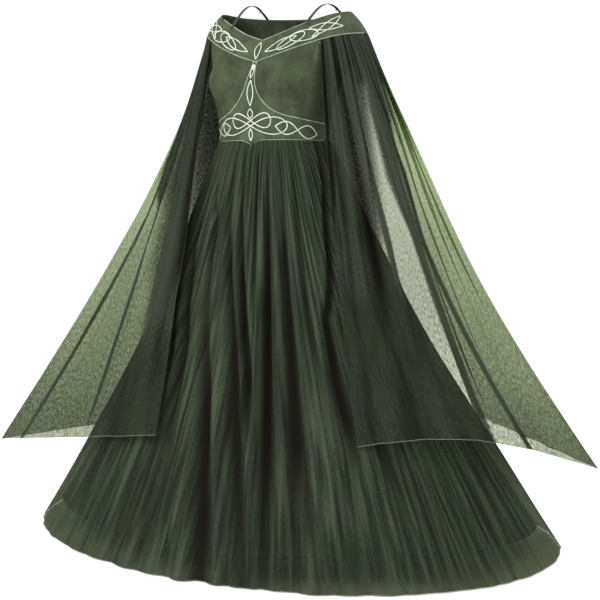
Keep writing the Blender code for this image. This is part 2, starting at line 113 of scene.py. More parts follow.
# The bodice on a general figure: height, half width, front, back, squareness of the section
TORSO = np.array(
    [
        (-0.080, 0.172, -0.108, 0.098, 2.6),
        (-0.130, 0.168, -0.126, 0.106, 2.6),
        (-0.170, 0.164, -0.143, 0.106, 2.5),
        (-0.215, 0.168, -0.156, 0.102, 2.4),
        (-0.260, 0.155, -0.158, 0.094, 2.3),
        (-0.310, 0.147, -0.155, 0.085, 2.2),
        (-0.375, 0.146, -0.152, 0.081, 2.1),
    ]
)
CUP_DEPTH = 0.040
CUP_APEX_X = 0.104
CUP_APEX_Z = -0.212
CUP_SPREAD_X = 0.055
CUP_SPREAD_UP = 0.062
CUP_SPREAD_DOWN = 0.046
FRONT_ARMHOLE = 55.0
BACK_ARMHOLE = 125.0
PRINCESS_SEAM = 31.0
BLEND_DEPTH = 0.060

# The waistband and the strap that rises from it: half its angle, height of its edge and middle
WAISTBAND = np.array(
    [
        (1.75, -0.1660, -0.1660),
        (2.05, -0.2050, -0.2050),
        (2.90, -0.2250, -0.2250),
        (5.10, -0.2430, -0.2430),
        (8.40, -0.2580, -0.2590),
        (13.3, -0.2730, -0.2750),
        (21.0, -0.2880, -0.2910),
        (31.0, -0.2990, -0.3060),
        (44.0, -0.3060, -0.3200),
        (64.0, -0.3140, -0.3320),
        (90.0, -0.3200, -0.3420),
        (90.0, -0.3400, -0.3540),
        (90.0, -0.3620, -0.3620),
    ]
)
EDGE_ROWS = 11
PRINCESS_ROW = 7
WAIST_POINT_DROP = 0.011
WAIST_POINT_HALF = 0.030

# The skirt: height, half width, middle front to back, half depth, squareness
SKIRT = np.array(
    [
        (-0.350, 0.1470, -0.0355, 0.1165, 2.10),
        (-0.375, 0.1520, -0.0350, 0.1200, 2.10),
        (-0.400, 0.1660, -0.0330, 0.1310, 2.05),
        (-0.450, 0.1900, -0.0280, 0.1480, 2.00),
        (-0.550, 0.2340, -0.0200, 0.1800, 2.00),
        (-0.650, 0.2830, -0.0100, 0.2140, 2.00),
        (-0.760, 0.3370, 0.0000, 0.2500, 2.00),
        (-0.920, 0.4260, 0.0150, 0.3120, 2.00),
        (-1.060, 0.5150, 0.0280, 0.3760, 2.00),
        (-1.150, 0.5730, 0.0350, 0.4180, 2.00),
        (-1.300, 0.6680, 0.0430, 0.4870, 2.00),
        (-1.400, 0.7340, 0.0470, 0.5350, 2.00),
    ]
)
SKIRT_GATHERS = 54
SKIRT_TOP_OUT = 0.0030
SKIRT_STEPS = 16
SKIRT_SHELL_ROWS = 100
# Down the skirt: height, depth of the fine gathers, depth of the wide folds
SKIRT_ROWS = np.array(
    [
        (-0.362, 0.0018, 0.0000),
        (-0.390, 0.0028, 0.0005),
        (-0.460, 0.0034, 0.0030),
        (-0.600, 0.0032, 0.0080),
        (-0.830, 0.0018, 0.0140),
        (-1.120, 0.0006, 0.0180),
        (-1.400, 0.0000, 0.0200),
    ]
)
# The deep folds, the last five of them at the back: rows down each valley of height, gather,
# half its width in gathers, and its depth from 0 to 1. Heights and gathers at the front start
# from dark valleys found in the photograph and carried onto the skirt through its camera
# The depth of each valley also sets how much painted shade darkens its colour
SKIRT_FOLDS = (
    ((-0.41, 2.8, 0.22, 0.1), (-0.50, 2.5, 0.22, 0.35), (-0.65, 2.4, 0.26, 0.8),
     (-0.80, 2.3, 0.34, 1), (-1.10, 2.3, 0.34, 1), (-1.25, 2.3, 0.34, 0.7),
     (-1.40, 2.4, 0.30, 0.4)),
    ((-0.41, 4.3, 0.22, 0.1), (-0.57, 4.0, 0.24, 0.4), (-0.65, 3.8, 0.26, 0.75),
     (-0.80, 3.7, 0.34, 0.9), (-1.10, 3.6, 0.44, 1), (-1.24, 3.5, 0.38, 0.45),
     (-1.40, 3.1, 0.30, 0.2)),
    ((-0.41, -0.7, 0.20, 0.2), (-0.50, -0.4, 0.22, 0.4), (-0.65, 0.1, 0.24, 0.7),
     (-0.80, 0.6, 0.32, 1), (-0.95, 1.25, 0.30, 1), (-1.03, 1.4, 0.28, 0.7),
     (-1.14, 1.6, 0.22, 0.0)),
    ((-0.46, -1.7, 0.22, 0.1), (-0.58, -1.3, 0.24, 0.4), (-0.72, -0.5, 0.26, 0.7),
     (-0.80, -0.1, 0.28, 0.9), (-0.95, 0.5, 0.34, 0.95), (-1.10, 0.9, 0.36, 0.9),
     (-1.25, 1.4, 0.32, 0.7), (-1.40, 1.8, 0.28, 0.5)),
    ((-0.46, -4.0, 0.24, 0.2), (-0.58, -2.6, 0.24, 0.45), (-0.73, -2.1, 0.24, 0.4),
     (-0.81, -1.8, 0.26, 0.5), (-0.96, -1.0, 0.28, 0.85), (-1.11, -0.4, 0.32, 1),
     (-1.26, 0.0, 0.34, 1), (-1.40, 0.3, 0.30, 0.8)),
    ((-0.46, 5.4, 0.22, 0.1), (-0.65, 5.0, 0.24, 0.45), (-0.80, 4.8, 0.26, 0.6),
     (-0.95, 5.0, 0.26, 0.4), (-1.12, 5.1, 0.26, 0.0)),
    ((-0.38, 10.9, 0.40, 0.5), (-0.57, 8.2, 0.34, 0.7), (-0.72, 6.9, 0.30, 0.7),
     (-0.80, 6.0, 0.30, 0.9), (-0.95, 5.75, 0.36, 1), (-1.03, 5.8, 0.34, 0.9),
     (-1.16, 5.9, 0.30, 0.0)),
    ((-0.60, -4.6, 0.24, 0.2), (-0.73, -3.8, 0.26, 0.5), (-0.89, -2.7, 0.28, 0.5),
     (-1.12, -1.9, 0.30, 0.4), (-1.28, -1.8, 0.28, 0.35), (-1.40, -1.7, 0.26, 0.1)),
    ((-0.78, -4.6, 0.26, 0.3), (-0.90, -3.6, 0.30, 0.75), (-1.13, -2.6, 0.26, 0.35),
     (-1.22, -2.4, 0.26, 0.4), (-1.34, -2.5, 0.24, 0.2)),
    ((-0.55, 6.9, 0.24, 0.2), (-0.85, 6.8, 0.30, 0.2), (-1.09, 7.0, 0.44, 0.4),
     (-1.24, 8.0, 0.44, 0.1)),
    ((-1.03, 0.1, 0.20, 0.2), (-1.19, 0.6, 0.24, 0.35), (-1.40, 1.2, 0.24, 0.35)),
    ((-0.42, 1.1, 0.20, 0.35), (-0.60, 1.2, 0.22, 0.4), (-0.75, 1.3, 0.22, 0.25),
     (-0.95, 1.8, 0.2, 0.0)),
    ((-0.50, 22.6, 0.30, 0.3), (-0.80, 22.9, 0.36, 0.8), (-1.10, 23.4, 0.40, 0.9),
     (-1.40, 23.6, 0.34, 0.5)),
    ((-0.46, 25.4, 0.26, 0.3), (-0.80, 25.1, 0.34, 0.9), (-1.10, 25.2, 0.38, 1.0),
     (-1.40, 25.3, 0.32, 0.5)),
    ((-0.46, 27.8, 0.26, 0.3), (-0.75, 27.6, 0.30, 0.8), (-1.05, 27.2, 0.36, 0.7),
     (-1.30, 27.0, 0.3, 0.0)),
    ((-0.50, 30.2, 0.28, 0.3), (-0.80, 29.9, 0.34, 0.8), (-1.15, 29.4, 0.40, 1.0),
     (-1.40, 29.2, 0.34, 0.6)),
    ((-0.50, 33.2, 0.28, 0.2), (-0.85, 32.6, 0.36, 0.7), (-1.20, 32.0, 0.40, 0.7),
     (-1.40, 31.9, 0.34, 0.4)),
)
FOLD_DEPTH = 0.024
FOLD_CLEAR = 0.0045
# How far inside its sections the skirt may sink at the waist seam, and how fast that grows
WAIST_SINK = 0.0006
WAIST_SINK_SLOPE = 0.13
# The lining under it: height, how far inside the skirt's sections it hangs
LINING = np.array(
    [(-0.362, 0.0055), (-0.460, 0.014), (-0.700, 0.026), (-1.130, 0.030), (-1.340, 0.019)]
)
LINING_WAVE = 0.004
LINING_WAVES = 9

# Each cape sleeve: the corners of its hem, the arch of the hem over the skirt, how far the
# cloth sags inward at its edge and at its corners, and where on the way down it sags most
SLEEVES = {
    "left": {
        "front": (0.363, -0.280, -1.088),
        "tip": (0.885, -0.115, -1.116),
        "back": (0.340, 0.570, -1.150),
        "arch": 0.040,
        "sag": (0.048, 0.026),
        "sag_power": 1.30,
    },
    "right": {
        "front": (-0.134, -0.392, -1.088),
        "tip": (-0.830, -0.175, -1.202),
        "back": (-0.340, 0.570, -1.150),
        "arch": 0.000,
        "sag": (0.056, 0.016),
        "sag_power": 0.75,
    },
}
# Strands where a sleeve's cloth stays bunched together, as rows down each one: share of the
# sleeve's length, the gather in the strand's middle, and half its width in gathers
SLEEVE_STRANDS = {
    "left": (
        ((0.00, 6.0, 9.0), (0.08, 5.5, 7.0), (0.14, 3.2, 4.2), (0.21, 2.8, 3.6), (0.29, 2.5, 3.1),
         (0.38, 2.3, 2.8), (0.52, 1.9, 2.3), (0.56, 1.7, 2.0)),
        ((0.34, 4.9, 0.3), (0.52, 4.85, 0.28), (0.62, 4.7, 0.2)),
        ((0.06, 9.0, 2.0), (0.14, 9.0, 1.45), (0.21, 8.5, 1.4), (0.29, 7.9, 1.0),
         (0.38, 7.55, 0.85), (0.52, 7.6, 0.38), (0.90, 6.9, 0.16)),
        ((0.36, 8.95, 0.25), (0.52, 8.15, 0.20), (0.75, 8.4, 0.18), (1.00, 8.7, 0.12)),
    ),
    "right": (
        ((0.00, 6.0, 9.0), (0.08, 3.6, 5.6), (0.16, 1.7, 3.3), (0.26, 1.5, 2.7), (0.36, 1.6, 2.9),
         (0.45, 1.3, 2.4), (0.58, 1.2, 2.2), (0.66, 1.0, 1.8)),
        ((0.06, 9.0, 1.6), (0.14, 9.6, 1.0), (0.20, 9.8, 0.5), (0.24, 9.9, 0.2)),
        ((0.25, 8.0, 0.28), (0.36, 8.2, 0.28), (0.45, 9.3, 0.22), (1.0, 10.2, 0.12)),
        ((0.36, 6.9, 0.3), (0.45, 5.6, 0.6), (0.55, 5.2, 0.35), (0.85, 5.0, 0.14)),
        ((0.00, 20.0, 9.0), (0.12, 21.0, 6.5), (0.26, 22.0, 6.0), (0.36, 22.5, 5.4),
         (0.45, 23.0, 5.2), (0.62, 24.0, 4.6)),
    ),
}
# The hollows between the rolls of those strands, dented in and darkened with painted shade, in the
# same rows
SLEEVE_HOLLOWS = {
    "left": (
        ((0.06, 2.9, 0.5), (0.20, 3.3, 0.55), (0.38, 3.3, 0.6), (0.52, 3.3, 0.9),
         (0.60, 3.3, 0.6)),
        ((0.04, 0.3, 0.5), (0.35, 0.2, 0.6), (0.45, 0.1, 0.3)),
        ((0.05, 5.6, 0.25), (0.30, 5.0, 0.2), (0.45, 4.4, 0.2)),
        ((0.10, 7.1, 0.25), (0.30, 6.95, 0.14)),
    ),
    "right": (
        ((0.06, 0.9, 0.6), (0.20, 0.7, 0.8), (0.40, 0.5, 0.9), (0.55, 0.3, 0.6)),
        ((0.10, 4.3, 0.25), (0.30, 3.6, 0.3), (0.50, 3.0, 0.25)),
        ((0.00, 22.0, 5.0), (0.45, 22.5, 3.5), (0.60, 23.0, 2.0)),
    ),
}
SLEEVE_GATHERS = 24
SLEEVE_FOLD = 12
SLEEVE_START = 1.2
SLEEVE_STEPS = 16
SLEEVE_SHELL_ROWS = 110
# Down a sleeve: share of its length, depth of the fine gathers, depth of the wide folds
SLEEVE_ROWS = np.array(
    [
        (0.00, 0.0016, 0.0000),
        (0.03, 0.0024, 0.0010),
        (0.12, 0.0036, 0.0040),
        (0.30, 0.0030, 0.0100),
        (0.52, 0.0012, 0.0130),
        (0.78, 0.0000, 0.0090),
        (1.00, 0.0000, 0.0060),
    ]
)

# The shoulder straps: where each starts on the band, front and back, and its arch
STRAPS = {"left": (50.0, 132.0), "right": (42.0, 146.0)}
STRAP_WIDTH = 0.008
STRAP_TOP_Z = -0.0076
STRAP_TUCK = 0.16
STRAP_ARCH_STEPS = 56
ZIP_HALF_ANGLE = 3.5

# The cut of what shows of each sheet: width and length, and the area where it isn't a rectangle
CUTS = {
    "bodice_front": (0.105, 0.155, 0.0110),
    "bodice_side": (0.180, 0.205, 0.0280),
    "bodice_back": (0.230, 0.240, 0.0510),
    "neck_band_front": (0.640, 0.150, 0.0380),
    "neck_band_back": (0.300, 0.075, 0.0165),
    "waistband_front": (0.440, 0.210, 0.0300),
    "waistband_back": (0.235, 0.043, 0.0092),
    "skirt": (4.20, 1.10, 2.75),
    "lining": (3.90, 1.02, 2.20),
    "sleeve": (1.35, 1.12, 0.98),
    "zip": (0.028, 0.33, 0.0092),
}

# Cords, piping and hems
CORD_HALF_WIDTH = 0.00125
CORD_HALF_THICK = 0.00065
CORD_STEP = 0.0014
CORD_LIFT = 0.0011
CORD_LIFT_REACH = 0.0026
PIPING_RADIUS = 0.00085
HEM_RADIUS = 0.00060
EDGE_RADIUS = 0.00040
SEAM_THREAD_RADIUS = 0.00035


def smooth(table, column, at):
    """A column of a table read at any value of its first column, on a smooth curve."""
    xs = table[:, 0]
    ys = table[:, column]
    if xs[0] > xs[-1]:
        xs, ys = xs[::-1], ys[::-1]
    slopes = np.gradient(ys, xs)
    at = np.clip(np.asarray(at, float), xs[0], xs[-1])
    i = np.clip(np.searchsorted(xs, at, side="right") - 1, 0, len(xs) - 2)
    step = xs[i + 1] - xs[i]
    t = (at - xs[i]) / step
    start = (1 + 2 * t) * (1 - t) ** 2 * ys[i] + t * (1 - t) ** 2 * step * slopes[i]
    end = t * t * (3 - 2 * t) * ys[i + 1] + t * t * (t - 1) * step * slopes[i + 1]
    return start + end


def unit(v):
    return v / np.linalg.norm(v, axis=-1, keepdims=True)


def ease(t):
    t = np.clip(t, 0, 1)
    return t * t * (3 - 2 * t)


def bell(x):
    return np.exp(-(np.asarray(x, float) ** 2))


def rough(points, size, octaves=2):
    """Smooth noise from about -1 to 1 at each point, with features of a size in metres."""
    flat = np.asarray(points, float).reshape(-1, 3) / size
    values = [noise.fractal(Vector(p), 1.0, 2.0, octaves) for p in flat]
    return np.array(values).reshape(np.shape(points)[:-1])


def normals_of(points):
    """The outward normals of a grid whose rows run down and whose columns run to the left."""
    down = np.gradient(points, axis=0)
    across = np.gradient(points, axis=1)
    return unit(np.cross(down, across))


def section(angle, half, middle, deep, squareness):
    """The x and y of a section of the body at an angle."""
    angle = np.radians(angle)
    power = 2 / squareness
    x = half * np.sign(np.sin(angle)) * np.abs(np.sin(angle)) ** power
    y = middle - deep * np.sign(np.cos(angle)) * np.abs(np.cos(angle)) ** power
    return x, y


def worn(points):
    """The points as worn: leaned above the waist, and measured from the straps' tops."""
    above = points[..., 2] - LEAN_FROM_Z
    share = ease(above / (LEAN_FULL_Z - LEAN_FROM_Z))
    side = LEAN_SIDEWAYS * above * share
    drop = LEAN * points[..., 0] * share + STRAPS_MIDDLE_Z
    return points + np.stack([side, 0 * side, -drop], -1)


def band_point(angle, across):
    """A point of the neckline band: across is 0 on its upper edge and 1 on its lower."""
    angle = np.asarray(angle, float)
    across = np.asarray(across, float)[..., None]
    half = np.abs(angle)
    upper = np.stack([smooth(BAND, c, half) for c in (1, 2, 3)], -1)
    lower = np.stack([smooth(BAND, c, half) for c in (4, 5, 6)], -1)
    point = upper * (1 - across) + lower * across
    out = unit(point * (1, 1, 0) + (0, 1e-9, 0))
    point = point + out * BAND_BOW * 4 * across * (1 - across)
    point[..., 0] *= np.where(angle < 0, -1, 1)
    return point


def below_band(angle, gap):
    """The points a gap below the band's lower edge, in the band's own slope."""
    edge = band_point(angle, np.ones_like(angle))
    above = band_point(angle, np.full_like(angle, 0.85))
    return edge + unit(edge - above) * gap


def torso_point(angle, z):
    """A point of the bodice on a general figure, with the cups that its seams and darts give."""
    front = smooth(TORSO, 2, z)
    back = smooth(TORSO, 3, z)
    half, squareness = smooth(TORSO, 1, z), smooth(TORSO, 4, z)
    x, y = section(angle, half, (front + back) / 2, (back - front) / 2, squareness)
    spread = np.where(z > CUP_APEX_Z, CUP_SPREAD_UP, CUP_SPREAD_DOWN)
    rise = bell((z - CUP_APEX_Z) / spread)
    side = bell((np.abs(x) - CUP_APEX_X) / CUP_SPREAD_X)
    facing = np.clip(np.cos(np.radians(angle)), 0, 1) ** 0.5
    y = y - CUP_DEPTH * rise * side * facing
    return np.stack([x, y, np.broadcast_to(z, x.shape)], -1)


# Half of the dress's width at the waist seam
WAIST_HALF = 0.147


def waist_z(angle):
    """The waist seam, which drops to a small point at the centre front."""
    across = WAIST_HALF * np.sin(np.radians(angle))
    front = np.cos(np.radians(angle)) > 0
    near = np.clip(1 - np.abs(across) / WAIST_POINT_HALF, 0, 1)
    return WAIST_Z - WAIST_POINT_DROP * near**1.5 * front


def bodice_top(angle):
    """The top edge of the bodice: seamed to the band, and open round the armholes."""
    half = np.abs(angle)
    sign = np.where(angle < 0, -1, 1)
    held = np.where(half < 90, np.minimum(half, FRONT_ARMHOLE), np.maximum(half, BACK_ARMHOLE))
    seam = below_band(held * sign, HEM_GAP)
    front = (half - FRONT_ARMHOLE) / (90 - FRONT_ARMHOLE)
    back = (BACK_ARMHOLE - half) / (BACK_ARMHOLE - 90)
    scoop = np.clip(np.where(half < 90, front, back), 0, 1)
    z = seam[..., 2] + (UNDERARM_Z - seam[..., 2]) * np.sin(scoop * math.pi / 2) ** 0.8
    offset = (seam - torso_point(held * sign, seam[..., 2])) * (1 - scoop)[..., None]
    return z, offset


def bodice_point(angle, z):
    """A point of the bodice, drawn out to meet the band at the top."""
    top, offset = bodice_top(angle)
    weight = ease(1 - (top - z) / BLEND_DEPTH)
    return torso_point(angle, z) + offset * weight[..., None]


def drawn_in(points, gap):
    """The grid with its first and last columns drawn in by half of a seam's gap."""
    points = points.copy()
    for edge, inner in ((0, 1), (-1, -2)):
        points[:, edge] += unit(points[:, inner] - points[:, edge]) * gap / 2
    return points


def mirrored(points):
    """The same panel on the wearer's other side, its columns again running to the left."""
    return points[:, ::-1] * (-1, 1, 1)


def waistband_row(at, column):
    """A column of the waistband's table at any row, on a smooth curve."""
    rows = np.arange(EDGE_ROWS)
    table = np.column_stack([rows, WAISTBAND[:EDGE_ROWS, column]])
    curve = smooth(table, 1, np.minimum(at, EDGE_ROWS - 1))
    straight = np.interp(at, np.arange(len(WAISTBAND)), WAISTBAND[:, column])
    return np.where(at <= EDGE_ROWS - 1, curve, straight)


def waistband_edge(at, gap):
    """The angle and height of the waistband's upper edge at a row, a gap outside it."""
    angle, z = waistband_row(at, 0), waistband_row(at, 1)
    metres = math.radians(TORSO[4, 1])
    turn = np.gradient(angle, at) * metres
    drop = np.gradient(z, at)
    length = np.hypot(turn, drop)
    return angle - drop / length * gap / metres, z + turn / length * gap


def new_material(name):
    """A material with its node tree and its shader."""
    material = bpy.data.materials.new(name)
    material.use_nodes = True
    tree = material.node_tree
    return material, tree, tree.nodes["Principled BSDF"]


def add_node(tree, kind, values=(), feeds=(), **settings):
    """A shader node with its plain values by socket, its links in, and its settings."""
    node = tree.nodes.new(kind)
    for key, value in settings.items():
        setattr(node, key, value)
    for key, value in dict(values).items():
        node.inputs[key].default_value = value
    for key, source in dict(feeds).items():
        tree.links.new(source, node.inputs[key])
    return node


def set_shader(tree, shader, feeds, values, bump=None):
    """The shader's inputs from other nodes, its plain values, and its bump.

    The bump is its strength, its distance in metres and the node output that is its height.
    """
    if bump:
        strength, distance, height = bump
        values_in = {"Strength": strength, "Distance": distance}
        node = add_node(tree, "ShaderNodeBump", values_in, {"Height": height})
        feeds = {**feeds, "Normal": node.outputs[0]}
    for key, source in feeds.items():
        tree.links.new(source, shader.inputs[key])
    for key, value in values.items():
        shader.inputs[key].default_value = value


def object_place(tree):
    return add_node(tree, "ShaderNodeTexCoord").outputs["Object"]


def cloth_place(tree):
    """The place on the flat cloth, in metres."""
    return add_node(tree, "ShaderNodeUVMap", uv_map="Cloth").outputs[0]


def stretched_noise(tree, coordinates, scale, detail=2.0, roughness=0.5):
    """Noise drawn out by unlike scales along the cloth's width and length."""
    mapping = add_node(tree, "ShaderNodeMapping", {"Scale": scale}, {"Vector": coordinates})
    values = {"Scale": 1.0, "Detail": detail, "Roughness": roughness}
    texture = add_node(tree, "ShaderNodeTexNoise", values, {"Vector": mapping.outputs[0]})
    return texture.outputs[0]


def ramp(tree, source, stops):
    """A colour ramp from pairs of place and colour."""
    node = add_node(tree, "ShaderNodeValToRGB", feeds={"Fac": source})
    elements = node.color_ramp.elements
    for i, (place, colour) in enumerate(stops):
        element = elements[i] if i < 2 else elements.new(place)
        element.position = place
        element.color = (*colour, 1)
    return node.outputs[0]


def spread(tree, source, low, high, to_low, to_high):
    """A value brought from one range to another, and held inside it."""
    values = {"From Min": low, "From Max": high, "To Min": to_low, "To Max": to_high}
    return add_node(tree, "ShaderNodeMapRange", values, {"Value": source}).outputs[0]


def maths(tree, operation, *terms):
    """One sum or power, its terms each a plain number or another node's output."""
    plain, fed = {}, {}
    for socket, value in enumerate(terms):
        (plain if isinstance(value, (int, float)) else fed)[socket] = value
    return add_node(tree, "ShaderNodeMath", plain, fed, operation=operation).outputs[0]


def attribute(tree, name):
    """A value that the mesh carries at each point."""
    return add_node(tree, "ShaderNodeAttribute", attribute_name=name).outputs[2]


def crepe_material(name, dark, light, weave=900.0):
    """Matte crepe: a fine woven grain, a soft nap, and patches that lie a little lighter."""
    material, tree, shader = new_material(name)
    cloth = cloth_place(tree)
    patches = stretched_noise(tree, object_place(tree), (22, 22, 14), 4.0, 0.6)
    grain = stretched_noise(tree, cloth, (weave, weave * 0.6, 1), 2.0)
    across = stretched_noise(tree, cloth, (weave * 0.25, weave * 1.5, 1), 1.0)
    both = maths(tree, "ADD", grain, across)
    mixed = maths(tree, "MULTIPLY_ADD", both, 0.35, patches)
    middle = tuple((a + b) / 2 for a, b in zip(dark, light))
    colour = ramp(tree, mixed, ((0.58, dark), (0.82, middle), (1.12, light)))
    feeds = {"Base Color": colour, "Roughness": spread(tree, grain, 0.3, 0.7, 0.92, 0.78)}
    values = {"Sheen Weight": 0.12, "Sheen Roughness": 0.45, "Sheen Tint": (*light, 1)}
    values["Specular IOR Level"] = 0.12
    set_shader(tree, shader, feeds, values, (0.5, 0.0004, both))
    return material


def mixed_colour(tree, share, plain, colour):
    """A plain colour where the share is 0, and another node's colour where it is 1."""
    mix = tree.nodes.new("ShaderNodeMix")
    mix.data_type = "RGBA"
    sockets = [socket for socket in mix.inputs if socket.type == "RGBA"]
    sockets[0].default_value = (*plain, 1)
    tree.links.new(colour, sockets[1])
    tree.links.new(share, mix.inputs[0])
    return next(socket for socket in mix.outputs if socket.type == "RGBA")


def chiffon_material(name, valley, dark, light, cover, through, streaks, bands):
    """Sheer crinkle chiffon: dark threads, crowded into strokes, over open weave.

    Where the cloth is gathered its layers lie closer, so it covers more: FULLNESS says how many
    flat layers lie on each other there. The valley colour is painted shade, laid into the folds'
    valleys and where the cloth is crowded: a value at each point gives the share of the cloth's
    own colour that the painted shade leaves.
    """
    material, tree, shader = new_material(name)
    cloth = cloth_place(tree)
    crinkle = stretched_noise(tree, cloth, (330, 120, 1), 3.0, 0.6)
    strokes = stretched_noise(tree, cloth, streaks, 2.0, 0.5)
    patches = stretched_noise(tree, cloth, bands, 3.0, 0.6)
    crowded = maths(tree, "ADD", maths(tree, "MULTIPLY", crinkle, 0.45), strokes)
    single = spread(tree, crowded, 0.56, 0.90, *cover)
    fullness = attribute(tree, "FULLNESS")
    still_open = maths(tree, "POWER", maths(tree, "SUBTRACT", 1.0, single), fullness)
    covered = maths(tree, "SUBTRACT", 1.0, still_open)
    tone = spread(tree, crowded, 0.56, 0.92, 0.1, 1.1)
    tone = maths(tree, "MULTIPLY", tone, spread(tree, patches, 0.36, 0.64, 0.1, 1.0))
    dense = maths(tree, "MULTIPLY", maths(tree, "SUBTRACT", fullness, 1.0), 0.05)
    colour = ramp(tree, maths(tree, "ADD", tone, dense), ((0.08, dark), (0.62, light)))
    # Painted shade: the colour goes to the dark valley colour in the folds' valleys and where the
    # cloth is crowded
    feeds = {"Base Color": mixed_colour(tree, attribute(tree, "RIDGE"), valley, colour)}
    values = {"Roughness": 0.85, "Sheen Weight": 0.02, "Sheen Roughness": 0.5}
    values.update({"Sheen Tint": (*light, 1), "Specular IOR Level": 0.03})
    height = maths(tree, "ADD", crowded, maths(tree, "MULTIPLY", patches, 1.2))
    set_shader(tree, shader, feeds, values, (0.6, 0.0010, height))
    open_weave = add_node(tree, "ShaderNodeBsdfTransparent", {"Color": (*through, 1)})
    shaders = {"Fac": covered, 1: open_weave.outputs[0], 2: shader.outputs[0]}
    sheer = add_node(tree, "ShaderNodeMixShader", feeds=shaders)
    tree.links.new(sheer.outputs[0], tree.nodes["Material Output"].inputs["Surface"])
    return material


def lining_material():
    """Opaque satin lining, with long soft slubs down the cloth."""
    material, tree, shader = new_material("lining_satin")
    slubs = stretched_noise(tree, cloth_place(tree), (120, 10, 1), 3.0)
    weave = stretched_noise(tree, cloth_place(tree), (1500, 1500, 1), 1.0)
    colour = ramp(tree, slubs, ((0.3, (0.010, 0.013, 0.008)), (0.7, (0.020, 0.026, 0.016))))
    feeds = {"Base Color": colour, "Roughness": spread(tree, slubs, 0.3, 0.7, 0.6, 0.75)}
    set_shader(tree, shader, feeds, {"Sheen Weight": 0.2}, (0.3, 0.0002, weave))
    return material


def cord_material(name, dark, middle, light):
    """Pale braided cord: fine slanting plaits, darker where their bump is low and in patches."""
    material, tree, shader = new_material(name)
    plaits = stretched_noise(tree, object_place(tree), (1400, 1400, 1400), 1.0)
    tone = stretched_noise(tree, object_place(tree), (60, 60, 60), 3.0)
    both = maths(tree, "MULTIPLY_ADD", plaits, 0.5, tone)
    colour = ramp(tree, both, ((0.50, dark), (0.70, middle), (0.95, light)))
    feeds = {"Base Color": colour, "Roughness": spread(tree, plaits, 0.3, 0.7, 0.6, 0.4)}
    set_shader(tree, shader, feeds, {"Sheen Weight": 0.3}, (0.6, 0.0003, plaits))
    return material


def thread_material(name, dark, light):
    """A narrow woven edge, hem or strap, with its threads as a fine grain."""
    material, tree, shader = new_material(name)
    grain = stretched_noise(tree, object_place(tree), (1100, 1100, 700), 2.0)
    colour = ramp(tree, grain, ((0.3, dark), (0.7, light)))
    feeds = {"Base Color": colour, "Roughness": spread(tree, grain, 0.3, 0.7, 0.85, 0.65)}
    values = {"Sheen Weight": 0.04, "Specular IOR Level": 0.15}
    set_shader(tree, shader, feeds, values, (0.5, 0.0003, grain))
    return material


def metal_material():
    """Pale brushed metal with fine scratches and a little tarnish."""
    material, tree, shader = new_material("pale_metal")
    scratches = stretched_noise(tree, object_place(tree), (3000, 3000, 300), 2.0)
    tarnish = stretched_noise(tree, object_place(tree), (400, 400, 400), 3.0)
    colour = ramp(tree, tarnish, ((0.35, (0.42, 0.43, 0.40)), (0.65, (0.68, 0.70, 0.66))))
    feeds = {"Base Color": colour, "Roughness": spread(tree, scratches, 0.3, 0.7, 0.28, 0.5)}
    set_shader(tree, shader, feeds, {"Metallic": 1.0})
    return material


def floor_material():
    """A plain pale floor with a faint unevenness."""
    material, tree, shader = new_material("pale_floor")
    tone = stretched_noise(tree, object_place(tree), (3, 3, 3), 3.0)
    colour = ramp(tree, tone, ((0.3, (0.965, 0.965, 0.96)), (0.7, (0.975, 0.975, 0.97))))
    set_shader(tree, shader, {"Base Color": colour}, {"Roughness": 0.9})
    return material


def dress_materials():
    # The colour of the painted shade laid into the chiffon's fold valleys and crowded places
    valley = (0.0060, 0.0052, 0.0040)
    skirt_tones = (valley, (0.014, 0.019, 0.012), (0.042, 0.057, 0.035))
    sleeve_tones = (valley, (0.009, 0.0105, 0.0075), (0.026, 0.033, 0.022))
    through = (0.91, 1.0, 0.77)
    cord_tones = ((0.32, 0.36, 0.29), (0.47, 0.53, 0.43), (0.60, 0.66, 0.55))
    piping_tones = ((0.20, 0.23, 0.17), (0.31, 0.36, 0.27), (0.42, 0.48, 0.37))
    return {
        "bodice": crepe_material(
            "bodice_crepe_olive", (0.017, 0.022, 0.012), (0.054, 0.067, 0.038)
        ),
        "band": crepe_material("band_crepe_olive", (0.022, 0.029, 0.016), (0.066, 0.082, 0.047)),
        "skirt": chiffon_material(
            "skirt_chiffon", *skirt_tones, (0.68, 0.92), through, (70, 5, 1), (34, 2, 1)
        ),
        "sleeve": chiffon_material(
            "sleeve_chiffon", *sleeve_tones, (0.39, 0.73), through, (290, 110, 1), (14, 3, 1)
        ),
        "piping": cord_material("pale_piping", *piping_tones),
        "lining": lining_material(),
        "cord": cord_material("pale_cord", *cord_tones),
        "hem": thread_material("hem_thread", (0.010, 0.016, 0.010), (0.030, 0.045, 0.028)),
        "pale_hem": thread_material("sleeve_hem_thread", (0.09, 0.11, 0.08), (0.19, 0.22, 0.17)),
        # Pale seam threads: their colour is a painted highlight of the lit seam ridges
        "seam": thread_material("seam_thread", (0.060, 0.075, 0.045), (0.13, 0.155, 0.10)),
        "strap": thread_material("strap_elastic", (0.014, 0.020, 0.013), (0.040, 0.050, 0.036)),
        "zip": thread_material("zip_tape_weave", (0.005, 0.006, 0.005), (0.014, 0.016, 0.013)),
        "metal": metal_material(),
    }


def kept(piece, replaces=()):
    """A piece that rides on the dress, hiding the solids it stands in for."""
    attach(piece, "root")
    if replaces:
        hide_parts(*replaces)
    return piece


def mesh_piece(name, points, faces, material):
    mesh = bpy.data.meshes.new(name)
    mesh.from_pydata(points.reshape(-1, 3).tolist(), [], faces)
    mesh.materials.append(material)
    mesh.shade_smooth()
    piece = bpy.data.objects.new(name, mesh)
    bpy.context.scene.collection.objects.link(piece)
    return piece


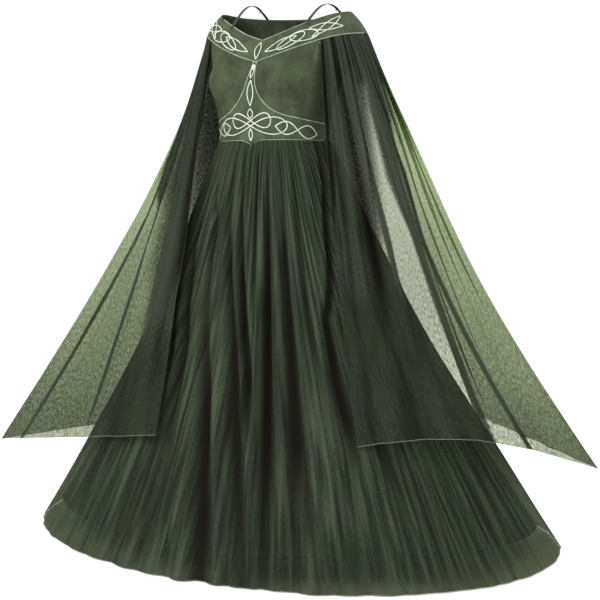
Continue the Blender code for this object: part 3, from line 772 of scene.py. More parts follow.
def cloth_piece(name, points, size, material, wall=0.0, closed=False):
    """A cloth shell through a grid of points, with its place on the flat cloth as its UVs."""
    rows, columns = points.shape[:2]
    across = columns if closed else columns - 1
    r, c = np.meshgrid(np.arange(rows - 1), np.arange(across), indexing="ij")
    corners = ((r, c), (r + 1, c), (r + 1, c + 1), (r, c + 1))
    faces = np.stack([a * columns + b % columns for a, b in corners], -1).reshape(-1, 4)
    piece = mesh_piece(name, points, faces.tolist(), material)
    width, length = size
    flat = [np.stack([b / across * width, a / (rows - 1) * length], -1) for a, b in corners]
    layer = piece.data.uv_layers.new(name="Cloth")
    layer.data.foreach_set("uv", np.stack(flat, -2).astype(np.float32).ravel())
    if wall:
        solidify = piece.modifiers.new("Wall", "SOLIDIFY")
        solidify.thickness = wall
        solidify.offset = 0
    return piece


def marked(piece, fullness, fold_lit_share):
    """Each point's gathered fullness, and the share of its colour that painted fold shade leaves.
    """
    for name, values in (("FULLNESS", fullness), ("RIDGE", fold_lit_share)):
        layer = piece.data.attributes.new(name, "FLOAT", "POINT")
        layer.data.foreach_set("value", np.asarray(values, np.float32).ravel())


def tube_piece(name, paths, radius, material, closed=False):
    """A round edge, hem or piping along each path."""
    curve = bpy.data.curves.new(name, "CURVE")
    curve.dimensions = "3D"
    curve.bevel_depth = radius
    curve.bevel_resolution = 1
    curve.use_fill_caps = True
    for path in paths:
        spline = curve.splines.new("POLY")
        spline.points.add(len(path) - 1)
        spline.points.foreach_set("co", np.column_stack([path, np.ones(len(path))]).ravel())
        spline.use_cyclic_u = closed
    curve.materials.append(material)
    piece = bpy.data.objects.new(name, curve)
    bpy.context.scene.collection.objects.link(piece)
    return piece


def creased(points, depth):
    """The grid moved along its normals by a depth at each point."""
    return points + normals_of(points) * depth[..., None]


def seam_pucker(share, z, width, edge):
    """A seam's valley at an edge of a panel, with the small puckers its stitches pull."""
    from_edge = np.abs(share - edge) * width
    valley = -0.0007 * bell(from_edge / 0.0025)
    pull = 0.00035 * np.sin(z / 0.0042 * math.pi) * bell((from_edge - 0.003) / 0.004)
    return valley + pull


def crease_along(points, start, end, width, depth):
    """The depth of a crease in the cloth along a line between two places."""
    start, end = np.array(start), np.array(end)
    way = end - start
    share = np.clip((points - start) @ way / (way @ way), 0, 1)
    far = np.linalg.norm(points - start - share[..., None] * way, axis=-1)
    return depth * bell(far / width) * np.sin(math.pi * (0.12 + 0.83 * share))


# About how wide a side or back panel and a front panel are
PANEL_WIDTH = 0.15
FRONT_PANEL_WIDTH = 0.085
# The dart at the bust and the pulls in the cloth
BUST_DART = ((0.152, -0.120, -0.182), (0.118, -0.187, -0.196), 0.0022, -0.0013)
BODICE_PULLS = (
    # start, end, width, depth
    ((0.060, -0.165, -0.275), (0.128, -0.110, -0.292), 0.0080, -0.0012),
    ((0.090, -0.170, -0.262), (0.140, -0.080, -0.262), 0.0070, -0.0010),
    ((0.110, -0.150, -0.280), (0.146, -0.060, -0.300), 0.0060, 0.0010),
    ((0.050, -0.170, -0.240), (0.085, -0.185, -0.262), 0.0070, -0.0009),
)


def bodice_front_panel(rows=56, columns=44):
    foot_angle, foot_z = waistband_edge(np.linspace(1, PRINCESS_ROW, columns), HEM_GAP)
    foot_angle[-1] = PRINCESS_SEAM
    head_angle = np.linspace(foot_angle[0] - 0.2, PRINCESS_SEAM, columns)
    head_z, _ = bodice_top(head_angle)
    share = np.linspace(0, 1, rows)[:, None]
    angle = head_angle + (foot_angle - head_angle) * share
    z = head_z + (foot_z - head_z) * share
    points = drawn_in(bodice_point(angle, z), SEAM_GAP)
    across = np.linspace(0, 1, columns)
    depth = seam_pucker(across, z, FRONT_PANEL_WIDTH, 1.0) + 0.0007 * rough(points, 0.035)
    for pull in BODICE_PULLS:
        depth = depth + crease_along(points, *pull)
    return creased(points, depth)


def bodice_panel(first, last, rows=56, columns=64):
    """A side or back panel of the bodice, from its top edge to the waistband."""
    angles = np.linspace(first, last, columns)
    share = np.linspace(0, 1, rows)[:, None]
    top, _ = bodice_top(angles)
    at = np.linspace(0, EDGE_ROWS - 1, 200)
    edge_angle, edge_z = waistband_row(at, 0), waistband_row(at, 1)
    foot = np.interp(np.abs(angles), edge_angle, edge_z) + HEM_GAP
    z = top + (foot - top) * share
    points = bodice_point(np.broadcast_to(angles, z.shape), z)
    points = drawn_in(points, SEAM_GAP)
    across = np.linspace(0, 1, columns)
    depth = seam_pucker(across, z, PANEL_WIDTH, 0.0) + seam_pucker(across, z, PANEL_WIDTH, 1.0)
    depth = depth + 0.0008 * rough(points, 0.04)
    if last <= 90:
        depth = depth + crease_along(points, *BUST_DART)
        for pull in BODICE_PULLS:
            depth = depth + crease_along(points, *pull)
    return creased(points, depth)


def build_bodice(looks):
    """The six panels of the bodice, with their seam puckers, dart and pulls."""
    panels = {
        "bodice_front": bodice_front_panel(),
        "bodice_side": bodice_panel(PRINCESS_SEAM, 90),
        "bodice_back": bodice_panel(90, 180),
    }
    for name, grid in panels.items():
        width, length, area = CUTS[name]
        for side, points in (("left", grid), ("right", mirrored(grid))):
            node = f"{name}_{side}"
            piece = cloth_piece(
                f"{node}_cloth", worn(points), (width, length), looks["bodice"], BODICE_T
            )
            kept(piece, [node])


def seam_line(places, count=40):
    """A line on the bodice through pairs of angle and height, for a pale thread that paints a
    seam's highlight.
    """
    places = np.array(places)
    at = np.linspace(0, len(places) - 1, count)
    angle, z = (np.interp(at, np.arange(len(places)), places[:, c]) for c in (0, 1))
    points = bodice_point(angle, z)
    return points + unit(points * (1, 1, 0)) * (BODICE_T / 2 - 0.0001)


def build_seams(looks):
    """Thin threads along the princess seams and the bust darts, coloured pale as a painted
    highlight of the seam ridges.
    """
    princess = seam_line([(PRINCESS_SEAM, z) for z in (-0.150, -0.215, -0.303)])
    dart = seam_line(((48, -0.202), (67, -0.181)), 20)
    lines = []
    for line in (princess, dart):
        lines += [worn(line), worn(line * (-1, 1, 1))]
    piece = tube_piece("bodice_seam_threads", lines, SEAM_THREAD_RADIUS, looks["seam"])
    kept(piece)


def band_grid(first, last, columns, rows=22):
    angles = np.broadcast_to(np.linspace(first, last, columns), (rows, columns))
    across = np.broadcast_to(np.linspace(0, 1, rows)[:, None], (rows, columns))
    points = drawn_in(band_point(angles, across), SEAM_GAP)
    return creased(points, 0.0004 * rough(points, 0.03) * np.sin(across * math.pi))


def build_bands(looks):
    """The neckline band and the waistband, each in a front and two backs."""
    front = band_grid(-90, 90, 220)
    back = band_grid(90, 180, 90)
    grids = {
        "neck_band_front": (front, "neck_band_front", BAND_T),
        "neck_band_back_left": (back, "neck_band_back", BAND_T),
        "neck_band_back_right": (mirrored(back), "neck_band_back", BAND_T),
        "waistband_front": (waistband_front(), "waistband_front", BODICE_T),
        "waistband_back_left": (waistband_back(), "waistband_back", BODICE_T),
        "waistband_back_right": (mirrored(waistband_back()), "waistband_back", BODICE_T),
    }
    for node, (points, cut, wall) in grids.items():
        width, length, area = CUTS[cut]
        piece = cloth_piece(f"{node}_cloth", worn(points), (width, length), looks["band"], wall)
        kept(piece, [node])


def waistband_front(rows=130, columns=121):
    """The waistband with the strap that rises from it to the neckline, in one piece."""
    at = np.linspace(0, len(WAISTBAND) - 1, rows)[:, None]
    share = np.linspace(-1, 1, columns)
    half, edge, middle = (waistband_row(at, c) for c in range(3))
    angle = half * share
    z = edge + (middle - edge) * (1 - share**2)
    z[0] = bodice_top(angle[0])[0]
    z[-1] = waist_z(angle[-1])
    points = drawn_in(bodice_point(angle, z), SEAM_GAP)
    return creased(points, 0.0003 * rough(points, 0.03))


def waistband_back(rows=16, columns=80):
    angles = np.linspace(90, 180, columns)
    z = np.linspace(WAISTBAND[EDGE_ROWS - 1, 1], WAIST_Z, rows)[:, None]
    z = np.broadcast_to(z, (rows, columns))
    points = drawn_in(bodice_point(np.broadcast_to(angles, z.shape), z), SEAM_GAP)
    return creased(points, 0.0004 * rough(points, 0.03))


def skirt_angle(gather):
    """The angle of a gather, with the uneven spacing of real folds."""
    turn = 2 * math.pi * gather / SKIRT_GATHERS
    uneven = 0.030 * np.sin(3 * turn + 0.7) + 0.018 * np.sin(7 * turn + 2.1)
    return np.degrees(turn + uneven)


def skirt_ring(angle, z):
    half, middle, deep, squareness = (smooth(SKIRT, c, z) for c in (1, 2, 3, 4))
    x, y = section(angle, half, middle, deep, squareness)
    return np.stack([x, y, np.broadcast_to(z, x.shape)], -1)


def skirt_out(angle, z):
    """The level direction out of the skirt at an angle, square to its section."""
    across = skirt_ring(angle + 0.5, z) - skirt_ring(angle - 0.5, z)
    return unit(np.stack([across[..., 1], -across[..., 0], 0 * across[..., 0]], -1))


def fold_strength(angle):
    """The wide folds are deepest over the front, to the left of the centre, and at the back."""
    front = (angle - 12 + 180) % 360 - 180
    back = (angle - 185 + 180) % 360 - 180
    return 0.35 + 0.75 * bell(front / 38) + 0.55 * bell(back / 50)


def pleat(turn, sharp=0.75):
    """A wave from -1 to 1 with round ridges and sharp valleys."""
    return 2 * (np.cos(turn / 2) ** 2 + 0.004) ** (sharp / 2) - 1


def ring_noise(gathers, total, z, size, seed):
    """Smooth noise round a closed ring and down it, from about -1 to 1."""
    turn = 2 * math.pi * gathers / total
    radius = total / size / (2 * math.pi)
    x, y = radius * np.cos(turn), radius * np.sin(turn)
    x, y, z = np.broadcast_arrays(x, y, z)
    points = np.stack([x + seed * 7.3, y, z], -1)
    return rough(points, 1.0)


def skirt_folds(gathers, z):
    """The depth, from 0 to 1, of the folds in SKIRT_FOLDS, and of the rolls beside them."""
    valley, roll = 0 * z + 0 * gathers, 0 * z + 0 * gathers
    for rows in SKIRT_FOLDS:
        rows = np.array(rows)[::-1]
        middle, width, deep = (np.interp(z, rows[:, 0], rows[:, c]) for c in (1, 2, 3))
        deep = deep * ease((rows[-1, 0] + 0.04 - z) / 0.04)
        off = np.abs((gathers - middle + SKIRT_GATHERS / 2) % SKIRT_GATHERS - SKIRT_GATHERS / 2)
        valley = np.maximum(valley, deep * bell(off / width))
        roll = np.maximum(roll, deep * bell((off - 2.1 * width) / width))
    return valley, roll


def skirt_shell():
    """The gathered skirt in one closed grid, its fine gathers merging into wide folds.

    Returns the points, how many flat layers lie on each other, and the share of the cloth's own
    colour at each point that the painted shade in the folds' valleys leaves.
    """
    columns = SKIRT_GATHERS * SKIRT_STEPS
    gathers = np.arange(columns) / SKIRT_STEPS
    down = np.linspace(0, 1, SKIRT_SHELL_ROWS)[:, None] ** 1.15
    angles = np.broadcast_to(skirt_angle(gathers), (SKIRT_SHELL_ROWS, columns))
    signed = (angles[0] + 180) % 360 - 180
    top = waist_z(signed) - HEM_GAP
    z = top + (HEM_Z - top) * down
    fine, wide = smooth(SKIRT_ROWS, 1, z), smooth(SKIRT_ROWS, 2, z)
    turn = 2 * math.pi * gathers
    drift = 8 * 2 * math.pi / SKIRT_GATHERS
    strength = fold_strength(angles)
    wander = ring_noise(gathers, SKIRT_GATHERS, z * 1.6, 3.5, 1)
    size = np.clip(1 + 0.9 * ring_noise(gathers, SKIRT_GATHERS, z * 1.0, 1.6, 2), 0.15, 1.7)
    main = pleat(turn / 2 + 0.6 * np.sin(drift * gathers) + 0.5 * wander)
    second = pleat(turn + 0.9 * wander + 0.8)
    broad = np.cos(turn / 6 + 1.1 + wander)
    waves = (0.50 * main + 0.42 * second * size + 0.18 * broad) * strength
    back = bell(((angles - 185 + 180) % 360 - 180) / 60)
    waves = waves * (0.35 + 0.55 * back)
    small = pleat(turn + 1.6 * wander + 0.8, 0.9) * np.clip(size, 0.4, 1.3)
    tiny = pleat(2 * turn + 2.6 * wander, 0.9) * np.clip(1.6 - size, 0.4, 1.3)
    least = np.cos(3 * turn + 3.0 * ring_noise(gathers, SKIRT_GATHERS, z * 2.0, 1.2, 5))
    near_waist = bell((z - WAIST_Z) / 0.30)
    depth = SKIRT_TOP_OUT + fine * (0.35 * small + 0.70 * tiny + 0.50 * least * near_waist)
    valley, roll = skirt_folds(np.broadcast_to(gathers, z.shape), z)
    depth = depth + wide * waves - FOLD_DEPTH * valley + 0.25 * FOLD_DEPTH * roll
    creep = ring_noise(gathers, SKIRT_GATHERS, z * 3.0, 0.55, 3) * ease((WAIST_Z - z) / 0.2)
    depth = depth + 0.0014 * creep
    lining = -smooth(LINING, 1, z) + (LINING_WAVE + 0.002) * ease((-0.45 - z) / 0.3)
    depth = np.maximum(depth, lining + FOLD_CLEAR * ease((WAIST_Z - z) / 0.1))
    depth = np.maximum(depth, -WAIST_SINK - WAIST_SINK_SLOPE * (WAIST_Z - z))
    # Painted shade: the share of the cloth's own colour follows the folds, low in the valleys and
    # between the fine gathers, high on the ridges and rolls
    upper = 0.5 + 0.14 * small + 0.26 * tiny + 0.26 * least
    share = ease((WAIST_Z - z) / 0.60)
    relief = (0.60 + 0.10 * share) + 0.95 * (1 - 0.65 * share) * (upper - 0.5) + 0.30 * waves
    fold_lit_share = np.clip(relief + 0.20 * roll, 0.05, 1.0) * (1 - valley) ** 1.5
    fullness = 1 + 3.2 * (1 - down) ** 1.5 + 1.5 * valley + 0 * z
    points = skirt_ring(angles, z) + skirt_out(angles, z) * depth[..., None]
    return points, fullness, fold_lit_share


def lining_shell(rows=70, columns=360):
    """The lining in one closed grid, hung inside the skirt in shallow waves."""
    angles = np.broadcast_to(np.arange(columns) * 360.0 / columns, (rows, columns))
    signed = (angles[0] + 180) % 360 - 180
    top = waist_z(signed) - 2 * HEM_GAP
    z = top + (LINING_HEM_Z - top) * np.linspace(0, 1, rows)[:, None]
    waves = LINING_WAVE * np.cos(LINING_WAVES * np.radians(angles)) * ease((-0.45 - z) / 0.3)
    depth = smooth(LINING, 1, z) + waves
    depth = depth + 0.002 * ring_noise(np.arange(columns), columns, z * 2, 12.0, 4) * ease(
        (-0.45 - z) / 0.3
    )
    return skirt_ring(angles, z) - skirt_out(angles, z) * depth[..., None]


def build_skirt(looks):
    width, length, area = CUTS["skirt"]
    points, fullness, fold_lit_share = skirt_shell()
    points = worn(points)
    skirt = cloth_piece("skirt_chiffon", points, (width, length), looks["skirt"], closed=True)
    marked(skirt, fullness, fold_lit_share)
    gores = ["skirt_front", "skirt_side_left", "skirt_side_right"]
    gores += ["skirt_back_left", "skirt_back_right"]
    kept(skirt, gores)
    hem = tube_piece("skirt_rolled_hem", [points[-1]], HEM_RADIUS, looks["hem"], closed=True)
    kept(hem)
    width, length, area = CUTS["lining"]
    points = worn(lining_shell())
    lining = cloth_piece(
        "skirt_lining", points, (width, length), looks["lining"], LINING_T, closed=True
    )
    kept(lining, ["lining_front", "lining_back"])


def sleeve_hem(sizes, share):
    """The hem at a share of its way from the front corner, by the tip, to the back corner."""
    front, tip, back = (np.array(sizes[key]) for key in ("front", "tip", "back"))
    fold = SLEEVE_FOLD / SLEEVE_GATHERS
    before, after = share / fold, (share - fold) / (1 - fold)
    line = np.where((share <= fold)[:, None], front + (tip - front) * before[:, None], 0)
    line = np.where((share > fold)[:, None], tip + (back - tip) * after[:, None], line)
    line[:, 2] += sizes["arch"] * np.sin(math.pi * np.clip(before, 0, 1))
    return line


def sleeve_shell(side):
    """A cape sleeve in one grid, gathered into the band and folded along its outer edge."""
    sizes = SLEEVES[side]
    sign = 1 if side == "left" else -1
    gathers = np.arange(SLEEVE_GATHERS * SLEEVE_STEPS + 1) / SLEEVE_STEPS
    share = gathers / SLEEVE_GATHERS
    start, end = FRONT_ARMHOLE + SLEEVE_START, BACK_ARMHOLE - SLEEVE_START
    angles = (start + (end - start) * share) * sign
    top = below_band(angles, SEAM_GAP + CHIFFON_T / 2)
    down = unit(top - band_point(angles, np.full_like(angles, 0.85)))
    out = unit(np.cross(down, np.gradient(top, axis=0))) * sign
    hem = sleeve_hem(sizes, share)
    fold = bell((share - SLEEVE_FOLD / SLEEVE_GATHERS) / 0.22)
    edge_sag, corner_sag = sizes["sag"]
    sag = corner_sag + (edge_sag - corner_sag) * fold
    inward = -unit((hem - top) * (1, 1, 0))
    ends = ease(np.minimum(share, 1 - share) / 0.06) * (1 - 0.6 * fold)
    turn = 2 * math.pi * gathers
    grid, fullness, fold_lit_share = [], [], []
    for length in np.linspace(0, 1, SLEEVE_SHELL_ROWS) ** 1.2:
        line = top * (1 - length) + hem * length
        line = line + inward * (sag * math.sin(math.pi * length ** sizes["sag_power"]))[:, None]
        across = np.gradient(line, axis=0) * sign
        level = unit(np.stack([across[:, 1], -across[:, 0], 0 * across[:, 0]], -1))
        blend = min(1, length * 8)
        way = unit(out * (1 - blend) + level * blend)
        fine, wide = smooth(SLEEVE_ROWS, 1, length), smooth(SLEEVE_ROWS, 2, length)
        place = np.stack([gathers * 0.45, 0 * gathers + 5 * sign, 0 * gathers + length * 2.5], -1)
        wander = rough(place, 1.0)
        size = 1 + 0.6 * rough(place + (31.0, 0, 0), 0.7)
        waves = pleat(math.pi * 0.8 * gathers + 0.9 * np.sin(0.5 * gathers) + wander * 0.7) * ends
        small = pleat(turn + 1.5 * wander) * size
        depth = fine * small + wide * waves * size
        depth = depth + 0.0012 * rough(place * (6, 1, 2), 1.0) * min(1, length * 5)
        bunched = 0 * gathers
        for rows in SLEEVE_STRANDS[side]:
            rows = np.array(rows)
            middle, width = (np.interp(length, rows[:, 0], rows[:, c]) for c in (1, 2))
            fade = float(ease(1 + (rows[-1, 0] - length) / 0.15))
            off = np.abs(gathers - middle) / width
            bunched = np.maximum(bunched, np.exp(-(off**4)) * fade)
        hollow = 0 * gathers
        for rows in SLEEVE_HOLLOWS[side]:
            rows = np.array(rows)
            middle, width = (np.interp(length, rows[:, 0], rows[:, c]) for c in (1, 2))
            fade = float(ease(1 + (rows[-1, 0] - length) / 0.12))
            hollow = np.maximum(hollow, np.exp(-(np.abs(gathers - middle) / width) ** 3) * fade)
        depth = depth - 0.004 * hollow * min(1, length * 6)
        rolls = pleat(1.3 * turn + 3 * wander)
        depth = depth + 0.0022 * rolls * bunched * min(1, length * 12)
        stretched = np.interp(length, (0.10, 0.33, 0.60, 0.80, 1.0), (1.0, 0.66, 0.92, 1.1, 1.35))
        upper_part = float(ease(2.4 - 2.4 * length))
        stretched = stretched * (1.25 - 0.45 * ease((gathers - 6.5) / 4) * upper_part)
        crowding = stretched + 3.5 * float(bell(length / 0.07)) + 5.0 * bunched
        layers = crowding + 0.5 * ease(-3 * pleat(turn * 0.55 + 2.2 * wander, 0.9) - 1.9)
        grid.append(line + way * depth[:, None])
        fullness.append(layers)
        # Painted shade: the colour darkens where the cloth is crowded and between its rolls, most
        # near the top, and in the hollows
        near_top = 1 - 0.75 * float(ease(length / 0.25))
        upper = 0.62 + (0.3 * small + 0.4 * rolls) * near_top + 0.15 * rolls
        packed = np.clip((crowding - 1) / 2.5, 0, 1)
        fold_lit_share.append(np.clip(1 - packed * (1 - ease(upper * 1.25)) - 0.95 * hollow, 0, 1))
    grid, fullness, fold_lit_share = np.array(grid), np.array(fullness), np.array(fold_lit_share)
    if side == "left":
        return grid, fullness, fold_lit_share
    return grid[:, ::-1], fullness[:, ::-1], fold_lit_share[:, ::-1]


def build_sleeves(looks):
    width, length, area = CUTS["sleeve"]
    for side in SLEEVES:
        points, fullness, fold_lit_share = sleeve_shell(side)
        points = worn(points)
        piece = cloth_piece(f"cape_sleeve_{side}", points, (width, length), looks["sleeve"])
        marked(piece, fullness, fold_lit_share)
        kept(piece, [f"sleeve_front_{side}", f"sleeve_back_{side}"])
        hem = tube_piece(f"sleeve_rolled_hem_{side}", [points[-1]], HEM_RADIUS, looks["pale_hem"])
        edges = tube_piece(
            f"sleeve_edges_{side}", [points[:, 0], points[:, -1]], EDGE_RADIUS, looks["hem"]
        )
        kept(hem)
        kept(edges)


def strap_lines(side):
    """The middle of a strap and the direction of its width, from the front to the back."""
    sign = 1 if side == "left" else -1
    inside = BAND_T / 2 + LAYER_GAP + STRAP_T / 2
    ends, tangents = [], []
    for angle in STRAPS[side]:
        steps = np.array([STRAP_TUCK, STRAP_TUCK / 2, 0.0])
        edge = band_point(np.full(3, angle * sign), steps)
        tangent = unit(band_point((angle + 1) * sign, 0.1) - band_point((angle - 1) * sign, 0.1))
        inward = unit(np.cross(edge[0] - edge[-1], tangent)) * sign
        ends.append(edge + inward * inside)
        tangents.append(tangent * sign)
    front, back = ends
    turn = np.linspace(0, math.pi, STRAP_ARCH_STEPS + 1)[1:-1, None]
    share = turn / math.pi
    rise = STRAP_TOP_Z - (front[-1, 2] + back[-1, 2]) / 2
    arch = front[-1] + (back[-1] - front[-1]) * share
    arch[:, 2:] += rise * np.sin(turn)
    middle = np.concatenate([front, arch, back[::-1]])
    share = np.concatenate([np.zeros(3), share[:, 0], np.ones(3)])[:, None]
    over = np.array([1.0, 0.0, 0.0])
    width = tangents[0] * ease(1 - share * 4) - tangents[1] * ease(share * 4 - 3)
    width = width + over * (1 - ease(1 - share * 4) - ease(share * 4 - 3))
    along = unit(np.gradient(middle, axis=0))
    return middle, unit(width - along * np.sum(along * width, axis=1, keepdims=True)), along


# The length of a strap's elastic
STRAP_LENGTH = 0.22


def build_straps(looks):
    """The two elastic straps with raised edges, and their slides in pale metal."""
    ribs = np.linspace(-1, 1, 9)
    for side in STRAPS:
        middle, over, along = strap_lines(side)
        face = np.cross(over, along)
        lift = 0.00012 * np.cos(ribs * 3 * math.pi)
        points = middle[:, None] + over[:, None] * (ribs * STRAP_WIDTH / 2)[:, None]
        points = points + face[:, None] * lift[:, None]
        size = (STRAP_WIDTH, STRAP_LENGTH)
        piece = cloth_piece(
            f"strap_{side}_elastic", worn(points), size, looks["strap"], STRAP_T * 0.75
        )
        kept(piece, [f"strap_{side}"])
        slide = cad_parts[f"strap_slide_{side}"]
        for slot in slide.material_slots:
            slot.material = looks["metal"]
        bevel = slide.modifiers.new("Worn edges", "BEVEL")
        bevel.width = 0.00025
        bevel.segments = 2


def build_zip(looks):
    """The tape of the closed concealed zip, inside the centre back."""
    width, length, area = CUTS["zip"]
    angles = 180 + np.linspace(-1, 1, 9) * ZIP_HALF_ANGLE
    angles = (angles + 180) % 360 - 180
    across = np.linspace(0.06, 0.97, 14)[:, None]
    on_band = band_point(*np.broadcast_arrays(angles, across))
    top, _ = bodice_top(angles)
    z = top - 0.002 + (WAIST_Z + 0.002 - top) * np.linspace(0, 1, 40)[:, None]
    points = np.concatenate([on_band, bodice_point(*np.broadcast_arrays(angles, z))])
    points = points - normals_of(points) * (BAND_T / 2 + LAYER_GAP + ZIP_T / 2)
    piece = cloth_piece("back_zip_tape", worn(points), (width, length), looks["zip"], ZIP_T)
    kept(piece, ["back_zip"])


def band_edge(across, first, last, count=220):
    """A line along the neckline band, just off its outer face."""
    angles = np.linspace(first, last, count)
    points = band_point(angles, np.full(count, across))
    beside = band_point(angles + 0.5, np.full(count, across)) - points
    above = band_point(angles, np.full(count, across - 0.05)) - points
    return worn(points + unit(np.cross(beside, above)) * BAND_T * 0.35)


def waistband_upper_edge(count=160):
    """The upper edge of the waistband on the wearer's left, from the neckline to the side."""
    at = np.linspace(0, EDGE_ROWS - 1, count)
    angle, z = waistband_edge(at, HEM_GAP / 2)
    z[0] = bodice_top(angle)[0][0]
    return bodice_point(angle, z)


def build_piping(looks):
    """The pale piping along the edges of the neckline band and the waistband."""
    upper = waistband_upper_edge()
    upper = upper + unit(upper * (1, 1, 0)) * BODICE_T * 0.5
    angles = np.linspace(-90, 90, 260)
    lower = bodice_point(angles, waist_z(angles) - HEM_GAP / 2)
    out = unit(lower * (1, 1, 0) + (0, 0.04, 0)) * BODICE_T * 0.5
    lines = {
        "neck_band_piping": [band_edge(0.0, -60, 50), band_edge(1.0, -90, 90)],
        "waistband_piping": [
            worn(upper),
            worn(upper * (-1, 1, 1)),
            worn(lower + out),
        ],
    }
    for name, paths in lines.items():
        kept(tube_piece(name, paths, PIPING_RADIUS, looks["piping"]))


def leaf(start, end, half_width):
    """A leaf with two pointed ends, as a closed path."""
    start, end = np.array(start, float), np.array(end, float)
    share = np.linspace(0, 1, 60)[:, None]
    side = np.array([start[1] - end[1], end[0] - start[0]])
    side = side / np.linalg.norm(side)
    bulge = half_width * np.sin(math.pi * share)
    middle = start + (end - start) * share
    return np.concatenate([middle + side * bulge, (middle - side * bulge)[-2:0:-1]])


def loop(centre, half_length, half_width, tilt):
    """A round loop drawn out along one way and tilted, as a closed path."""
    turn = np.linspace(0, 2 * math.pi, 120, endpoint=False)
    x, y = half_length * np.cos(turn), half_width * np.sin(turn)
    c, s = math.cos(math.radians(tilt)), math.sin(math.radians(tilt))
    return np.column_stack([centre[0] + x * c - y * s, centre[1] + x * s + y * c])


def bow(centre, half_length, half_width, pointed=0.0):
    """Two loops joined by a crossing, as a closed path; pointed draws out their ends."""
    turn = np.linspace(0, 2 * math.pi, 200, endpoint=False)
    x = half_length * (np.cos(turn) + pointed * np.cos(3 * turn)) / (1 + pointed)
    return np.column_stack([centre[0] + x, centre[1] + half_width * np.sin(2 * turn)])


def twist(start, end, half_width, turns):
    """Two strands twisted round each other between two points, as a closed path."""
    start, end = np.array(start, float), np.array(end, float)
    share = np.linspace(0, 1, 50 * turns)[:, None]
    side = np.array([start[1] - end[1], end[0] - start[0]])
    side = side / np.linalg.norm(side)
    wave = half_width * np.sin(turns * math.pi * share)
    middle = start + (end - start) * share
    return np.concatenate([middle + side * wave, (middle - side * wave)[-2:0:-1]])


def stepped(path, step=CORD_STEP):
    """A closed path at even steps, its corners rounded as a cord rounds them."""
    path = np.concatenate([path, path[:1]])
    far = np.concatenate([[0], np.cumsum(np.linalg.norm(np.diff(path, axis=0), axis=1))])
    count = max(8, round(far[-1] / step))
    at = np.linspace(0, far[-1], count, endpoint=False)
    path = np.column_stack([np.interp(at, far, path[:, k]) for k in range(2)])
    return (np.roll(path, 1, axis=0) + 2 * path + np.roll(path, -1, axis=0)) / 4


def crossings(paths):
    """Where the paths cross: for each, the places along it and the number of the crossing."""
    segments = np.concatenate([np.stack([p, np.roll(p, -1, axis=0)], 1) for p in paths])
    owner = np.concatenate([np.full(len(p), i) for i, p in enumerate(paths)])
    index = np.concatenate([np.arange(len(p)) for p in paths])
    start, way = segments[:, 0], segments[:, 1] - segments[:, 0]
    gap = start[None] - start[:, None]

    def cross(a, b):
        return a[..., 0] * b[..., 1] - a[..., 1] * b[..., 0]

    turn = cross(way[:, None], way[None])
    turn = np.where(np.abs(turn) < 1e-14, np.inf, turn)
    here, there = cross(gap, way[None]) / turn, cross(gap, way[:, None]) / turn
    met = (here >= 0) & (here < 1) & (there >= 0) & (there < 1)
    first, second = np.nonzero(np.triu(met, 1))
    found = {i: [] for i in range(len(paths))}
    for number, (a, b) in enumerate(zip(first, second)):
        if owner[a] == owner[b] and abs(index[a] - index[b]) in (1, len(paths[owner[a]]) - 1):
            continue
        found[owner[a]].append((index[a] + here[a, b], number))
        found[owner[b]].append((index[b] + there[a, b], number))
    return found


def weave(paths):
    """How high each point of each path lies: over and under take turns along every cord."""
    found = crossings(paths)
    over = {}
    heights = []
    for i, path in enumerate(paths):
        turn = True
        places = sorted(found[i])
        for place, number in places:
            if number in over:
                turn = not over[number]
            over[number] = turn
            over[(i, place)] = turn
            turn = not turn
        height = np.zeros(len(path))
        at = np.arange(len(path))
        for place, _ in places:
            if not over[(i, place)]:
                continue
            far = np.abs(at - place)
            far = np.minimum(far, len(path) - far) * CORD_STEP
            height = np.maximum(height, CORD_LIFT * bell(far / CORD_LIFT_REACH))
        heights.append(height)
    return heights


# A flat braided cord cut across: two ridges with a groove between them
CORD_SECTION = np.array(
    [(-1, 0), (-0.8, 0.75), (-0.4, 1), (0, 0.5), (0.4, 1), (0.8, 0.75), (1, 0)]
    + [(0.6, -0.7), (-0.6, -0.7)]
)


def cord_piece(name, strands, surface, material):
    """Flat cords sewn along closed paths on a surface, woven over and under each other."""
    paths = [stepped(strand) for strand in strands]
    points, faces, base = [], [], 0
    sides = len(CORD_SECTION)
    for path, height in zip(paths, weave(paths)):
        middle, normal = surface(path[:, 0], path[:, 1])
        middle = middle + normal * (CORD_HALF_THICK * 0.7 + height)[:, None]
        along = unit(np.roll(middle, -1, axis=0) - np.roll(middle, 1, axis=0))
        side = unit(np.cross(along, normal))
        ring = middle[:, None]
        ring = ring + side[:, None] * (CORD_SECTION[:, 0] * CORD_HALF_WIDTH)[:, None]
        ring = ring + normal[:, None] * (CORD_SECTION[:, 1] * CORD_HALF_THICK)[:, None]
        points.append(ring.reshape(-1, 3))
        count = len(path)
        for i in range(count):
            for k in range(sides):
                a, b = i * sides + k, i * sides + (k + 1) % sides
                c, d = (i + 1) % count * sides + (k + 1) % sides, (i + 1) % count * sides + k
                faces.append((base + a, base + b, base + c, base + d))
        base += count * sides
    return mesh_piece(name, np.concatenate(points), faces, material)


def with_normals(place, a, b, step_a, step_b):
    """The worn points of a surface and its normals, from small steps along and down it."""
    here = worn(place(a, b))
    along = worn(place(a + step_a, b)) - worn(place(a - step_a, b))
    down = worn(place(a, b + step_b)) - worn(place(a, b - step_b))
    return here, unit(np.cross(down, along))


